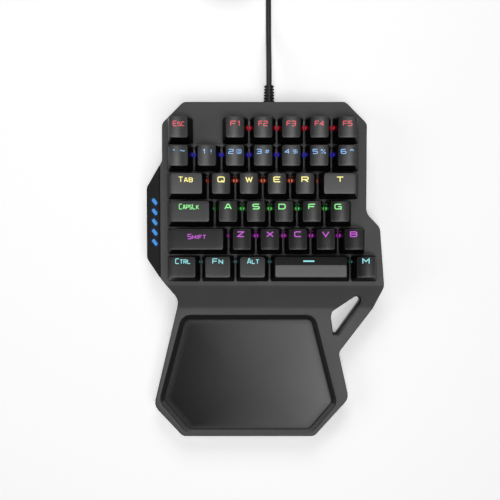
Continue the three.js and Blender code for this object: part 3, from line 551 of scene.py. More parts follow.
# The strap round the coil's left side, with its free end laid back on top. Each step of the flap has the side that
# it is measured from, its way from there and its lift
tie = {"thickness": 0.6, "width": 9.0, "near": 16.24, "far": 31.76, "slack": 0.5, "corner": 2.3, "flapWidth": 8.6,
       "flapThickness": 0.48, "flap": [(1, -3, 0.62), (0, 0, 0.64), (-1, 3.5, 0.66), (-1, 1.6, 0.95)],
       "section": [(-1, 0.1), (-0.97, 0), (0.97, 0), (1, 0.1), (1, 0.9), (0.97, 1), (-0.97, 1), (-1, 0.9)]}


def strapSection(at, along, width, thickness):
    return [(at[0] + along[1] * out * thickness, coilY + across * width / 2, at[1] - along[0] * out * thickness)
            for across, out in tie["section"]]


def buildStrap():
    top, middle = coilHigh + cord["diameter"] / 2 + tie["slack"], coilX - (tie["near"] + tie["far"]) / 2
    halfWidth, halfHeight = (tie["far"] - tie["near"]) / 2, (top - tie["thickness"]) / 2
    loop = [(x + middle, z + halfHeight + tie["thickness"]) for x, z, _ in roundedRing(
        halfWidth, halfHeight, tie["corner"], cornerSteps=5, sideSteps=(4, 5))]
    rings = []
    for i, at in enumerate(loop):
        along = (Vector(loop[(i + 1) % len(loop)]) - Vector(loop[i - 1])).normalized()
        rings.append(strapSection(at, along, tie["width"], tie["thickness"]))
    points, faces = skin(rings, closed=True)
    skin([strapSection((middle + side * halfWidth + way, top + lift), (-1, 0), tie["flapWidth"], tie["flapThickness"])
          for side, way, lift in tie["flap"]], points, faces)
    mesh = meshFrom("coilStrap", points, faces)
    setUv(mesh, "weave", lambda v: (points[v][0] + points[v][2], points[v][1]))
    return mesh


strapFinish, strapTree, _ = newFinish("wovenStrap", Roughness=0.85)
weave = placeGroup(strapTree, weaveGroup, Coordinates=addNode(strapTree, "ShaderNodeUVMap", uv_map="weave"),
                   # The darker valley colour is painted shade between the threads
                   Colour=srgb(38, 38, 40), Valley_Colour=srgb(14, 14, 15), Threads=4.5)
feedShader(strapTree, {"Base Color": weave["Colour"]}, weave["Height"], 0.5, 0.15)
strap = dress(linked("coilStrap", buildStrap()), "case", "strap", strapFinish, stands=["cable_tie"])


# Plug: a soft grip with a neck and ridges, a folded steel shell with its windows, and the tongue's contacts
def buildGrip():
    w, h, neck = plug["width"], plug["height"] - plug["slimmer"], plug["neck"]
    corner, bend = plug["corner"], plug["bend"]
    sections = [  # how far from the cord's end, width, height and corner
        (0, neck - 1, neck - 1, 2.2), (0.5, neck, neck, bend), (4.2, neck, neck, bend), (5.6, w * 0.72, h * 0.94, bend),
        (7.4, w * 0.94, h, bend), (9.5, w, h, corner), (24.5, w * 0.98, h, corner), (26.2, w * 0.95, h * 0.97, 2.2),
        (26.8, w * 0.9, h * 0.9, 1.9), (27.0, w * 0.84, h * 0.82, 1.6)]
    return meshFrom("plugGrip", *skin([
        [(plugX - away, plugY + a, plugZ + b) for a, b, _ in roundedRing(wide / 2, tall / 2, radius, sideSteps=(3, 4))]
        for away, wide, tall, radius in sections]), sharpAngle=45)


gripFinish = moulded("gripPlastic", srgb(36, 36, 37), 0.5, grain=0.45, bump=0.2)
plugGrip = dress(linked("plugGrip", buildGrip()), "case", "rubber", gripFinish, stands=["plug_grip"])
ridge = {"first": 11.5, "pitch": 2.1, "count": 6, "sunk": 0.42, "width": 1.1, "length": 9.5, "height": 0.8}
ridgePoints = pointMesh("ridgePoints", [
    (plugX - ridge["first"] - ridge["pitch"] * i, plugY, plugZ + side * (plugZ - ridge["sunk"]))
    for i in range(ridge["count"]) for side in (1, -1)])
plugRidges = dress(bakeShape("plugRidges", lensTree, ridgePoints, ridge, gripFinish, tilt=0.0), "case", "rubber")
shell = {"length": 12.5, "width": 12.0, "height": 4.5, "corner": 0.7, "wall": 0.35, "windowWidth": 2.4,
         "windowOffset": 2.95, "windowStart": 5.2, "windowLength": 2.2, "lip": 0.4, "lipShare": 0.96}


def buildShell():
    halfW, halfH, corner = shell["width"] / 2, shell["height"] / 2, shell["corner"]
    inner, outer = (shell["windowOffset"] + side * shell["windowWidth"] / 2 for side in (-1, 1))
    section = []
    for sx, sy, start in quarters:
        for turn in (math.radians(start + 30 * k) for k in range(4)):
            section.append((sx * (halfW - corner) + corner * math.cos(turn),
                            sy * (halfH - corner) + corner * math.sin(turn)))
        if sx == sy:
            section.extend((sx * value, sy * halfH) for value in (outer, inner, -inner, -outer))
    windowEnd = shell["windowStart"] + shell["windowLength"]
    stations = [0, shell["windowStart"], windowEnd, shell["length"] - shell["lip"], shell["length"]]
    points, faces, count = [], [], len(section)
    for away in stations:
        share = shell["lipShare"] if away == shell["length"] else 1
        points.extend((plugX - plug["length"] - away, plugY + a * share, plugZ + b * share) for a, b in section)
    for r in range(len(stations) - 1):
        for i in range(count):
            j = (i + 1) % count
            flat = abs(section[i][1]) == halfH and abs(section[j][1]) == halfH
            offCentre = abs(abs((section[i][0] + section[j][0]) / 2) - shell["windowOffset"])
            if not (r == 1 and flat and offCentre < 0.01):
                faces.append((r * count + i, r * count + j, (r + 1) * count + j, (r + 1) * count + i))
    piece = linked("plugShell", meshFrom("plugShell", points, faces, sharpAngle=50))
    wall = piece.modifiers.new("wall", "SOLIDIFY")
    wall.thickness, wall.offset = shell["wall"] * mm, -1
    return plainMesh(piece)


# Gives a node that stays as drawn its finish
def refinish(nodeName, finish):
    nodes[nodeName].data.materials.clear()
    nodes[nodeName].data.materials.append(finish)


shellFinish = brushed("shellSteel", srgb(196, 198, 201), 0.28, (0.6, 6.0, 6.0))
plugShell = dress(buildShell(), "case", "shell", shellFinish, stands=["plug_shell"])
refinish("plug_tongue", moulded("tonguePlastic", srgb(226, 226, 222), 0.45, grain=0.5, bump=0.1, spread=0.05))
contact = {"count": 4, "pitch": 2.2, "middle": 4.2, "sunk": 0.05, "corner": 0.25,
           "sections": [(3.6, 0.48, 0.0), (3.6, 0.48, 0.1), (3.5, 0.42, 0.16)]}  # half length, half width, lift


def buildContacts():
    points, faces = [], []
    tongueLow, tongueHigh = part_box("plug_tongue")
    x, z = tongueLow.x / mm + contact["middle"], tongueHigh.z / mm - contact["sunk"]
    for i in range(contact["count"]):
        y = plugY + (i - (contact["count"] - 1) / 2) * contact["pitch"]
        skin([roundedRing(length, width, contact["corner"], (x, y), z + lift, 2, (1, 2))
              for length, width, lift in contact["sections"]], points, faces)
    return meshFrom("plugContacts", points, faces)


contactFinish = brushed("contactGold", srgb(214, 176, 96), 0.25, (0.6, 5.0, 5.0))
plugContacts = dress(linked("plugContacts", buildContacts()), "case", "shell", contactFinish)

tuple(v * mm for v in cord["exit"])
print("cord and plug ready")

# The keys: each row's names with their widths in units, and its own height, lean and colours
keyField = {"pitch": 19.05, "left": -68.0, "front": 2.2, "bend": -9.45, "panelHeight": 24.0, "tiltDegrees": 2.5,
            "rows": 6}
rows = {
    1: [("esc", 1), (None, 1), ("f1", 1), ("f2", 1), ("f3", 1), ("f4", 1), ("f5", 1)],
    2: [("grave", 1), ("1", 1), ("2", 1), ("3", 1), ("4", 1), ("5", 1), ("6", 1)],
    3: [("tab", 1.5), ("q", 1), ("w", 1), ("e", 1), ("r", 1), ("t", 1.5)],
    4: [("caps", 1.75), ("a", 1), ("s", 1), ("d", 1), ("f", 1), ("g", 1)],
    5: [("shift", 2.25), ("z", 1), ("x", 1), ("c", 1), ("v", 1), ("b", 1)],
    6: [("ctrl", 1.25), ("fn", 1.25), ("alt", 1.25), ("space", 2.95), ("macro", 1)],
}
cap = {
    "gap": 1.4, "heights": [9.9, 9.5, 8.9, 8.6, 8.9, 9.0], "leanDegrees": [7, 6, 4, 1, -4, -4], "sideDraft": 2.6,
    "frontDraft": 3.55, "backDraft": 0.2, "dish": 1.1, "sink": 0.25, "wideDish": 0.2, "crown": 0.06, "corner": 1.6,
    "skirtCorner": 1.3, "leastCorner": 0.5, "wall": 1.5, "rim": 0.36, "lip": 0.25, "skirtHeight": 5.2, "stemWidth": 6.4,
    "stemDepth": 5.0, "stemReach": 0.8, "stemRise": 0.6, "stemBevel": 0.3, "sliver": 0.5, "unlit": 20.0,
    # per row, how strong the painted highlight on the tops' middles is
    "sideShares": (0.3, 0.6, 0.8), "topShares": (0.8, 0.55, 0.3), "polish": [1.0, 1.0, 0.9, 0.3, 0.0, 0.0],
    # the rims' paler line, painted highlight and wear, and how faint it is away from the front
    "rimWear": ((0, 0.0), (0.22, 0.3), (0.42, 0.8), (0.62, 1.0), (0.82, 0.7), (1, 0.1)), "rearWearShare": 0.1,
}
# Each row's light: its legend's colour and place behind the key's middle, the core and edge of the light spots
# painted on the caps beside the gaps, the spots' line and radius, and how bright their dots are
rowLights = {
    1: (srgb(222, 88, 98), 4.0, srgb(198, 30, 54), srgb(142, 8, 22), 2.0, 1.85, 0.0),
    2: (srgb(138, 188, 242), 4.2, srgb(48, 42, 172), srgb(22, 16, 122), 2.7, 1.95, 0.0),
    3: (srgb(252, 242, 142), 4.4, srgb(236, 136, 104), srgb(128, 26, 4), 3.95, 1.8, 0.2),
    4: (srgb(136, 236, 138), 5.0, srgb(112, 218, 112), srgb(0, 90, 6), 3.75, 1.8, 0.26),
    5: (srgb(190, 84, 204), 5.2, srgb(182, 66, 188), srgb(96, 0, 98), 4.1, 1.85, 0.24),
    6: (srgb(138, 216, 222), 5.8, srgb(88, 148, 142), srgb(6, 46, 46), 5.0, 1.4, 0.0),
}
lightParts = ("legend", "behind", "core", "edge", "line", "radius", "dot")
rowLights = {row: dict(zip(lightParts, values)) for row, values in rowLights.items()}
pitch, tilt = keyField["pitch"], math.radians(keyField["tiltDegrees"])
panelPlace = (Matrix.Translation((0, keyField["bend"], keyField["panelHeight"])) @ Matrix.Rotation(tilt, 4, "X"))


def layKeys():
    found = []
    for row, cells in rows.items():
        left, middleRow = keyField["left"], 2 < row < 6
        for i, (name, units) in enumerate(cells):
            before, after = cells[i - 1] if i else (None, 1), (cells[i + 1:] or [(None, 1)])[0]
            if name:
                found.append({
                    "name": name, "row": row, "units": units, "x": left + units * pitch / 2, "body": "key_" + name,
                    "left": left, "y": keyField["front"] + (keyField["rows"] - row + 0.5) * pitch,
                    "onLeft": before[0] is not None, "besideWide": max(units, after[1]) > 1 and middleRow,
                    "behindWide": max(units, before[1]) > 1 and middleRow, "onRight": after[0] is not None})
            left += units * pitch
    return found


keys = layKeys()


# The sizes of one cap, and the height of its top over its own middle
def capShape(key):
    width, depth = key["units"] * pitch - cap["gap"], pitch - cap["gap"]
    topWidth, topDepth = width - 2 * cap["sideDraft"], depth - cap["frontDraft"] - cap["backDraft"]
    middle = (cap["frontDraft"] - cap["backDraft"]) / 2
    height = cap["heights"][key["row"] - 1]
    lean = math.tan(math.radians(cap["leanDegrees"][key["row"] - 1]))
    dish, sink = (cap["dish"], cap["sink"]) if key["units"] == 1 else (cap["wideDish"], 0.0)

    def topAt(x, y):
        return (height - sink + lean * (y - middle) + dish * min(2 * abs(x) / topWidth, 1) ** 2
                - cap["crown"] * (2 * (y - middle) / topDepth) ** 2)
    return {"width": width, "depth": depth, "topWidth": topWidth, "topDepth": topDepth, "middle": middle,
            "height": height, "lean": lean, "topAt": topAt}


def keyPlace(key):
    return panelPlace @ Matrix.Translation((key["x"], key["y"], cap["skirtHeight"]))


# One cap: hollow below, a lip, four drafted sides, a rounded rim and a top that is dished from side to side
def buildCap(key):
    size = capShape(key)
    topAt, middle, wall, rim, lip = size["topAt"], size["middle"], cap["wall"], cap["rim"], cap["lip"]
    ceiling = size["height"] - wall - abs(size["lean"]) * size["topDepth"] / 2

    def ringAt(share, shrink=0.0, level=None):
        corner = mixed(cap["skirtCorner"], cap["corner"], share) - shrink * 0.4
        return roundedRing(
            mixed(size["width"], size["topWidth"], share) / 2 - shrink,
            mixed(size["depth"], size["topDepth"], share) / 2 - shrink, max(corner, cap["leastCorner"]),
            (0, middle * share), (lambda x, y: share * topAt(x, y)) if level is None else level)

    rings = [ringAt(1, wall, ceiling), ringAt(0, wall, 0.0), ringAt(0, lip, 0.0), ringAt(0, 0, lip)]
    rings += [ringAt(share) for share in cap["sideShares"]]
    foot, edge, head = ringAt(1 - rim / size["height"]), ringAt(1), ringAt(1, rim)
    firstRim, ringSize = len(rings), len(edge)
    for share, _ in cap["rimWear"]:
        rings.append([tuple((1 - share) ** 2 * f + 2 * share * (1 - share) * e + share ** 2 * h
                            for f, e, h in zip(*triple)) for triple in zip(foot, edge, head)])
    for share in cap["topShares"]:
        inner = [(x * share, middle + (y - middle) * share) for x, y, _ in head]
        rings.append([(x, y, topAt(x, y)) for x, y in inner])
    points, faces = skin(rings)
    points[-1] = (0, middle, topAt(0, middle))
    # The rim rings carry the paler line: painted highlight, full on the front rim and faint elsewhere, broken like wear
    worn = [0.0] * len(points)
    frontLine, rearLine = (middle + side * (size["topDepth"] / 2 - 2 * rim) for side in (-1, 1))
    for r, (_, amount) in enumerate(cap["rimWear"], firstRim):
        for v in range(r * ringSize, (r + 1) * ringSize):
            worn[v] = amount if points[v][1] < frontLine else cap["rearWearShare"] * amount
    skirtFaces, topFaces = (firstRim + 1) * ringSize, (firstRim + len(cap["rimWear"]) - 2) * ringSize

    # The stem, from the switch up into the ceiling
    low, bevel = -cap["skirtHeight"] - cap["stemReach"], cap["stemBevel"]
    halfWidth, halfDepth = cap["stemWidth"] / 2, cap["stemDepth"] / 2
    skin([roundedRing(halfWidth - shrink, halfDepth - shrink, cap["leastCorner"], (0, 0), z, 2, (1, 1))
          for z, shrink in ((low, bevel), (low + bevel, 0), (ceiling + cap["stemRise"], 0))], points, faces)
    worn += [0.0] * (len(points) - len(worn))
    local = [(p[0], p[1]) for p in points]
    mesh = meshFrom("cap_" + key["name"], points, faces, keyPlace(key), sharpAngle=42)
    # Material 1, the darker and duller copy of the cap plastic, is painted shade: on the skirts and on the side rims
    for face in mesh.polygons:
        y = sum(local[v][1] for v in face.vertices) / len(face.vertices)
        face.material_index = int(face.index < skirtFaces or (face.index < topFaces and frontLine < y < rearLine))
    setShares(mesh, "rim", worn)
    flatness = 2 if key["units"] == 1 else 12
    # Painted highlight: the middle of each top is made paler, most in the rows that lean to the front
    setShares(mesh, "polish", [cap["polish"][key["row"] - 1] * (1 - min(2 * abs(x) / size["topWidth"], 1) ** flatness)
                               for x, y in local])

    # Beside a wide cap only the left one of the two is lit, and only near the gap
    def offsetAt(v):
        x, y = local[v]
        lit = key["onRight"] if x > 0 else key["onLeft"] and not key["behindWide"]
        past = cap["sliver"] if x > 0 and key["besideWide"] else 0.0
        across = key["units"] * pitch / 2 - abs(x) + past if lit else cap["unlit"]
        return across, y - rowLights[key["row"]]["line"]
    setUv(mesh, "lightOffset", offsetAt)
    return mesh


# Cap plastic: the middle of the tops is painted paler as a highlight, and the front rims carry a paler broken line,
# painted highlight and wear
capLook = {"grain": 0.22, "spread": 0.14, "roughness": 0.36, "roughSpread": 0.1, "worn": srgb(120, 120, 121),
           "wornShare": 0.7, "bump": 0.16}


def capFinish(name, row, colour, gloss, polishedColour):
    light, look = rowLights[row], capLook
    finish, tree, coordinates = newFinish(name, **{"Emission Strength": 1.0, "Specular IOR Level": gloss})
    made = grained(tree, coordinates, colour, look["grain"], look["spread"], look["roughness"], look["roughSpread"])
    highlighted = blendColours(tree, attribute(tree, "polish"), made["Colour"], polishedColour)
    worn = placeGroup(tree, wearAndSheenGroup, Coordinates=coordinates, Colour=highlighted, Worn_Colour=look["worn"],
                      Roughness=made["Roughness"], Rim=attribute(tree, "rim"), Amount=look["wornShare"])
    spotLight = placeGroup(tree, spotGroup, Offset=addNode(tree, "ShaderNodeUVMap", uv_map="lightOffset"),
                           Radius=light["radius"], Core=light["core"], Edge=light["edge"], Dot=light["dot"])
    feedShader(tree, {"Base Color": worn["Colour"], "Roughness": worn["Roughness"],
                      "Emission Color": spotLight["Colour"]}, made["Height"], look["bump"])
    return finish


# The skirts are the tops' plastic painted darker and less glossy, as shade
topShade, skirtPaintedShade = srgb(20, 20, 21), srgb(14, 14, 15)
# The tops' middles are painted paler, towards srgb 62, as a highlight
capFinishes = {row: capFinish(f"capPlasticRow{row}", row, topShade, 0.5, srgb(62, 62, 63)) for row in rows}
skirtShadeFinishes = {row: capFinish(f"capSkirtRow{row}", row, skirtPaintedShade, 0.1, skirtPaintedShade) for row in rows}
spaceFinish = capFinish("spaceBarPlastic", 6, topShade, 0.15, topShade)
for key in keys:
    finish = spaceFinish if key["name"] == "space" else capFinishes[key["row"]]
    dress(linked("cap_" + key["name"], buildCap(key)), key["body"], "keycap", finish, skirtShadeFinishes[key["row"]],
          stands=[key["body"]])
print("keycaps ready")

# Legends in a plain squared hand: strokes of even width from point to point, in hundredths of a letter's width and
# height. A comma starts the next stroke
strokes = {
    "A": "0 0 38 100 62 100 100 0, 15 30 85 30",
    "B": "0 0 0 100 82 100 100 85 100 66 85 52 0 52, 85 52 100 38 100 15 82 0 0 0",
    "C": "100 100 15 100 0 84 0 16 15 0 100 0", "D": "0 0 0 100 78 100 100 76 100 24 78 0 0 0",
    "E": "100 100 10 100 0 88 0 12 10 0 100 0, 0 50 86 50", "F": "100 100 10 100 0 88 0 0, 0 50 86 50",
    "G": "100 100 15 100 0 84 0 16 15 0 100 0 100 48 50 48", "H": "0 0 0 100, 100 0 100 100, 0 50 100 50",
    "I": "50 0 50 100", "K": "0 0 0 100, 95 100 30 50 100 0, 0 50 30 50", "L": "0 100 0 12 12 0 100 0",
    "M": "0 0 0 100 50 42 100 100 100 0", "N": "0 0 0 100 100 0 100 100",
    "P": "0 0 0 100 85 100 100 85 100 58 85 44 0 44",
    "Q": "15 0 0 16 0 84 15 100 85 100 100 84 100 16 85 0 15 0, 55 34 100 -12",
    "R": "0 0 0 100 85 100 100 85 100 60 85 46 0 46, 45 46 100 0",
    "S": "100 100 15 100 0 86 0 64 14 50 86 50 100 36 100 14 85 0 0 0", "T": "0 100 100 100, 50 100 50 0",
    "V": "0 100 50 0 100 100", "W": "0 100 25 0 50 80 75 0 100 100", "X": "0 0 100 100, 0 100 100 0",
    "Z": "0 100 100 100 0 0 100 0", "1": "5 78 60 100 60 0",
    "2": "0 100 85 100 100 86 100 66 85 52 15 50 0 36 0 0 100 0",
    "3": "0 100 85 100 100 86 100 62 88 50 20 50, 88 50 100 38 100 14 85 0 0 0", "4": "78 0 78 100 0 34 100 34",
    "5": "100 100 0 100 0 55 85 55 100 41 100 14 85 0 0 0",
    "6": "90 100 15 100 0 84 0 16 15 0 85 0 100 16 100 40 85 54 0 54", "`": "0 100 60 72",
    "~": "0 62 22 80 45 74 60 62 80 58 100 74", "!": "50 100 50 34, 50 10 50 0",
    "@": "72 30 32 30 32 70 72 70 72 24 100 24 100 84 85 100 15 100 0 84 0 16 15 0 95 0",
    "#": "24 5 42 95, 60 5 78 95, 0 34 94 34, 8 68 100 68",
    "$": "100 88 15 88 0 78 0 62 14 50 86 50 100 38 100 22 85 12 0 12, 50 105 50 -5",
    "%": "10 2 90 98, 2 70 2 98 34 98 34 70 2 70, 66 2 66 30 98 30 98 2 66 2", "^": "0 66 50 100 100 66",
    "-": "0 50 100 50",
}
glyphShares = {}
for letter, lines in strokes.items():
    numbers = [[int(number) / 100 for number in line.split()] for line in lines.split(", ")]
    glyphShares[letter] = [list(zip(line[::2], line[1::2])) for line in numbers]
narrowShares = {"I": 0.25, "1": 0.5, "!": 0.25, "`": 0.6, "^": 0.7, "~": 0.9, " ": 0.25}
# Words in a key's own letters: small letters are small capitals. Then width, height and stroke
legend = {
    "size": {"esc": ("Esc", 8.0, 3.6, 0.5), "grave": ("` ~", 8.4, 3.2, 0.48), "1": ("1 !", 6.2, 3.2, 0.5),
             "tab": ("Tab", 9.9, 3.9, 0.56), "caps": ("CapsLk", 13.7, 3.8, 0.5), "shift": ("Shift", 12.8, 3.6, 0.54),
             "ctrl": ("Ctrl", 10.6, 3.8, 0.54), "fn": ("Fn", 7.4, 3.9, 0.58), "alt": ("Alt", 8.3, 3.8, 0.54),
             "space": ("-", 8.6, 0.9, 1.0),
             **{text[0]: (text, 9.0, 3.3, 0.5) for text in ("2 @", "3 #", "4 $", "5 %", "6 ^")}},
    "functionKeys": (6.4, 3.6, 0.54), "letters": (5.0, 3.9, 0.7), "smallShare": 0.8, "gapShare": 0.34,
    "spaceShare": 0.6, "behindOnShift": 3.6, "thinLetters": "@#$%", "thinShare": 0.62, "lift": 0.035, "depth": 0.12,
    "aside": {"d": -1.3, "g": -1.2, "z": -1.0, "space": -1.5, "tab": -0.35, "caps": -0.5, "alt": 0.4},
    "longestStep": 1.1, "strength": 0.95,
}


# The strokes of a word about its own middle, each with its share of the full stroke width
def layWord(text, width, height):
    x, laid = 0.0, []
    for letter in text:
        share = legend["smallShare"] if letter.islower() else 1.0
        weight = legend["thinShare"] if letter in legend["thinLetters"] else 1.0
        wide = narrowShares.get(letter.upper(), 1.0) * share
        laid += [(weight, [(x + a * wide, b * share) for a, b in line]) for line in glyphShares.get(letter.upper(), [])]
        x += wide + legend["gapShare"] * (legend["spaceShare"] if letter == " " else 1)
    total = max(a for weight, line in laid for a, b in line)
    return [(weight, [(a / total * width - width / 2, (b - 0.5) * height) for a, b in line]) for weight, line in laid]


# Turns a line into short steps, so that it follows the dished top
def shortSteps(line):
    steps = [Vector(line[0])]
    for end in line[1:]:
        start, end = steps[-1], Vector(end)
        count = max(math.ceil((end - start).length / legend["longestStep"]), 1)
        steps.extend(start.lerp(end, k / count) for k in range(1, count + 1))
    return steps


def addStroke(line, halfWidth, heightAt, points, faces):
    closed = line[0] == line[-1] and len(line) > 2
    chain = shortSteps(line)[:-1] if closed else shortSteps(line)
    count, start = len(chain), len(points)
    for i, here in enumerate(chain):
        before = chain[i - 1] if closed or i else None
        after = chain[(i + 1) % count] if closed or i < count - 1 else None
        into = (here - before).normalized() if before is not None else None
        out = (after - here).normalized() if after is not None else None
        into, out = into or out, out or into
        side = Vector((-(into.y + out.y), into.x + out.x)).normalized()
        reach = halfWidth / max(side.dot(Vector((-into.y, into.x))), 0.5)
        for sign, rise in ((1, legend["lift"]), (-1, legend["lift"]), (-1, -legend["depth"]), (1, -legend["depth"])):
            at = here + side * reach * sign
            points.append((at.x, at.y, heightAt(at.x, at.y) + rise))
    for i in range(count if closed else count - 1):
        a, b = start + 4 * i, start + 4 * ((i + 1) % count)
        faces.extend((a + k, a + (k + 1) % 4, b + (k + 1) % 4, b + k) for k in range(4))
    if not closed:
        last = start + 4 * (count - 1)
        faces.extend([(start, start + 1, start + 2, start + 3), (last + 3, last + 2, last + 1, last)])


def buildLegend(key):
    name = key["name"]
    if name in legend["size"]:
        text, width, height, stroke = legend["size"][name]
    else:
        text = "M" if name == "macro" else name.upper()
        width, height, stroke = legend["functionKeys" if len(name) == 2 else "letters"]
    back = legend["behindOnShift"] if name == "shift" else rowLights[key["row"]]["behind"]
    aside = legend["aside"].get(name, 0.0)
    points, faces = [], []
    for weight, line in layWord(text, width - stroke, height - stroke):
        addStroke([(a + aside, b + back) for a, b in line], weight * stroke / 2, capShape(key)["topAt"], points, faces)
    return meshFrom("legend_" + name, points, faces, keyPlace(key))


legendFinishes = {row: glowing(f"legendLightRow{row}", rowLights[row]["legend"], legend["strength"]) for row in rows}
for key in keys:
    dress(linked("legend_" + key["name"], buildLegend(key)), key["body"], "light", legendFinishes[key["row"]])
print("legends ready")

# The space bar's front has a paler plate, left bare. Its edge in steps of inset and lift, then towards its middle
# line, so that the plate stays as dished as the cap
plate = {"sideInset": 0.5, "frontInset": 0.45, "depth": 7.9, "corner": 0.9, "rise": 0.14,
         "edge": ((0.06, -0.35), (0, 0.0), (0, 0.07), (0.06, 0.119), (0.18, 0.14)), "inwards": (0.8, 0.5, 0.2, 0.002)}


def buildSpacePlate(key):
    size = capShape(key)
    topAt = size["topAt"]
    halfWidth, halfDepth = size["topWidth"] / 2 - plate["sideInset"], plate["depth"] / 2
    middleY = size["middle"] - size["topDepth"] / 2 + plate["frontInset"] + halfDepth
    rings = [roundedRing(halfWidth - shrink, halfDepth - shrink, plate["corner"] - shrink, (0, middleY),
                         lambda x, y: topAt(x, y) + lift, 4, (3, 14)) for shrink, lift in plate["edge"]]
    for share in plate["inwards"]:
        inner = [(x, middleY + (y - middleY) * share) for x, y, _ in rings[len(plate["edge"]) - 1]]
        rings.append([(x, y, topAt(x, y) + plate["rise"]) for x, y in inner])
    points, faces = skin(rings)
    points[-1] = (0, middleY, topAt(0, middleY) + plate["rise"])
    return meshFrom("spacePlate", points, faces, keyPlace(key))


spaceKey = next(key for key in keys if key["name"] == "space")
plateFinish = moulded("barePlate", srgb(92, 92, 94), 0.42, grain=0.18, bump=0.15, spread=0.1)
dress(linked("spacePlate", buildSpacePlate(spaceKey)), "key_space", "keycap", plateFinish)

# The panel's pale bars, which show between the caps: their pale colour is painted light, so that they read as lit down
# in the caps' shade
bars = {"width": 1.45, "height": 0.3, "round": 0.12, "sunk": 0.05, "corner": 0.3, "end": 2.2}


def buildBars():
    points, faces = [], []
    halfWidth, halfUpright = bars["width"] / 2, pitch / 2 - bars["end"]
    steps = ((0, -bars["sunk"]), (0, bars["height"] - bars["round"]), (bars["round"], bars["height"]))

    def addBar(middle, halfWide, halfDeep):
        skin([roundedRing(halfWide - shrink, halfDeep - shrink, bars["corner"], middle, z, 2, (1, 1))
              for shrink, z in steps], points, faces)

    lengths = [sum(units for _, units in cells) * pitch for cells in rows.values()]
    for row in rows:
        front = keyField["front"] + (keyField["rows"] - row) * pitch
        for key in keys:
            if key["row"] == row and key["onLeft"]:
                addBar((key["left"], front + pitch / 2), halfWidth, halfUpright)
        if row < keyField["rows"]:
            half = max(lengths[row - 1], lengths[row]) / 2
            addBar((keyField["left"] + half, front), half - bars["end"], halfWidth)
    return meshFrom("panelBars", points, faces, panelPlace)


# The bars' pale colour is painted light in the shade between caps
barFinish = moulded("panelBars", srgb(98, 98, 99), 0.5, grain=0.3, bump=0.2)
dress(linked("panelBars", buildBars()), "case", "plate", barFinish)

# Lamps on the switch housings, and glowing lenses on the panel that paint the light that shows between two caps
lamp = {"behind": 4.1, "width": 2.0, "length": 1.5, "height": 1.1, "top": 4.2, "strength": 1.6}
gapLight = {"width": 1.3, "length": 3.4, "height": 0.4, "middle": 0.2, "strength": 0.8}
for row, light in rowLights.items():
    inRow = [key for key in keys if key["row"] == row]
    lampPlaces = [(key["x"], key["y"] + lamp["behind"], lamp["top"]) for key in inRow]
    gapPlaces = [(key["left"], key["y"] + light["line"], gapLight["middle"]) for key in inRow if key["onLeft"]]
    lampFinish = glowing(f"lampRow{row}", light["core"], lamp["strength"])
    gapGlowFinish = glowing(f"gapLightRow{row}", light["edge"], gapLight["strength"])
    for name, places, sizes, finish in (
            ("lamps", lampPlaces, lamp, lampFinish), ("gapLights", gapPlaces, gapLight, gapGlowFinish)):
        points = pointMesh(name + "Points", places, panelPlace)
        dress(bakeShape(f"{name}_row_{row}", lensTree, points, sizes, finish, tilt=tilt), "case", "light")
print("lamps ready")


# A merged copy of a drawn node with rounded edges, which stands for it
def roundedCopy(nodeName, name, slotName, width, finishes, edgeSlot=-1, sharpAngle=30):
    mesh = nodes[nodeName].data.copy()
    mesh.materials.clear()
    work = bmesh.new()
    work.from_mesh(mesh)
    bmesh.ops.remove_doubles(work, verts=work.verts, dist=2e-6)
    # The pierced underside stays as drawn: one large face there would be cut across the key holes
    edges = [edge for edge in work.edges if all(face.normal.z > -0.9 for face in edge.link_faces)]
    bmesh.ops.dissolve_limit(work, angle_limit=math.radians(0.4), verts=work.verts, edges=edges)
    work.to_mesh(mesh)
    work.free()
    piece = linked(name, smooth(mesh, sharpAngle))
    for finish in finishes:
        mesh.materials.append(finish)
    bevel = piece.modifiers.new("edge", "BEVEL")
    settings = {"width": width * mm, "segments": 2, "limit_method": "ANGLE", "angle_limit": math.radians(sharpAngle),
                "harden_normals": True, "use_clamp_overlap": False, "material": edgeSlot}
    for label, value in settings.items():
        setattr(bevel, label, value)
    return dress(plainMesh(piece), "case", slotName, stands=[nodeName])


coverGloss = {"Specular IOR Level": 0.5}
coverFinish = moulded("coverPlastic", srgb(66), 0.5, grain=0.3, bump=0.3, spread=0.08, **coverGloss)
coverEdge = moulded("coverEdge", srgb(64), 0.48, grain=0.3, bump=0.15, spread=0.16, **coverGloss)
# The recess walls' darker plastic is painted shade
recessShadeFinish = moulded("recessPlastic", srgb(30), 0.5, grain=0.3, bump=0.2, spread=0.1, **{"Specular IOR Level": 0.3})
topCover = roundedCopy("top_cover", "topCover", "cover", 0.5, [coverFinish, coverEdge, recessShadeFinish], 1)
lowerFinish = moulded("lowerPlastic", srgb(34, 34, 35), 0.6, grain=0.3, bump=0.3)
roundedCopy("bottom_cover", "bottomCover", "lower_cover", 0.4, [lowerFinish])
print("covers ready")

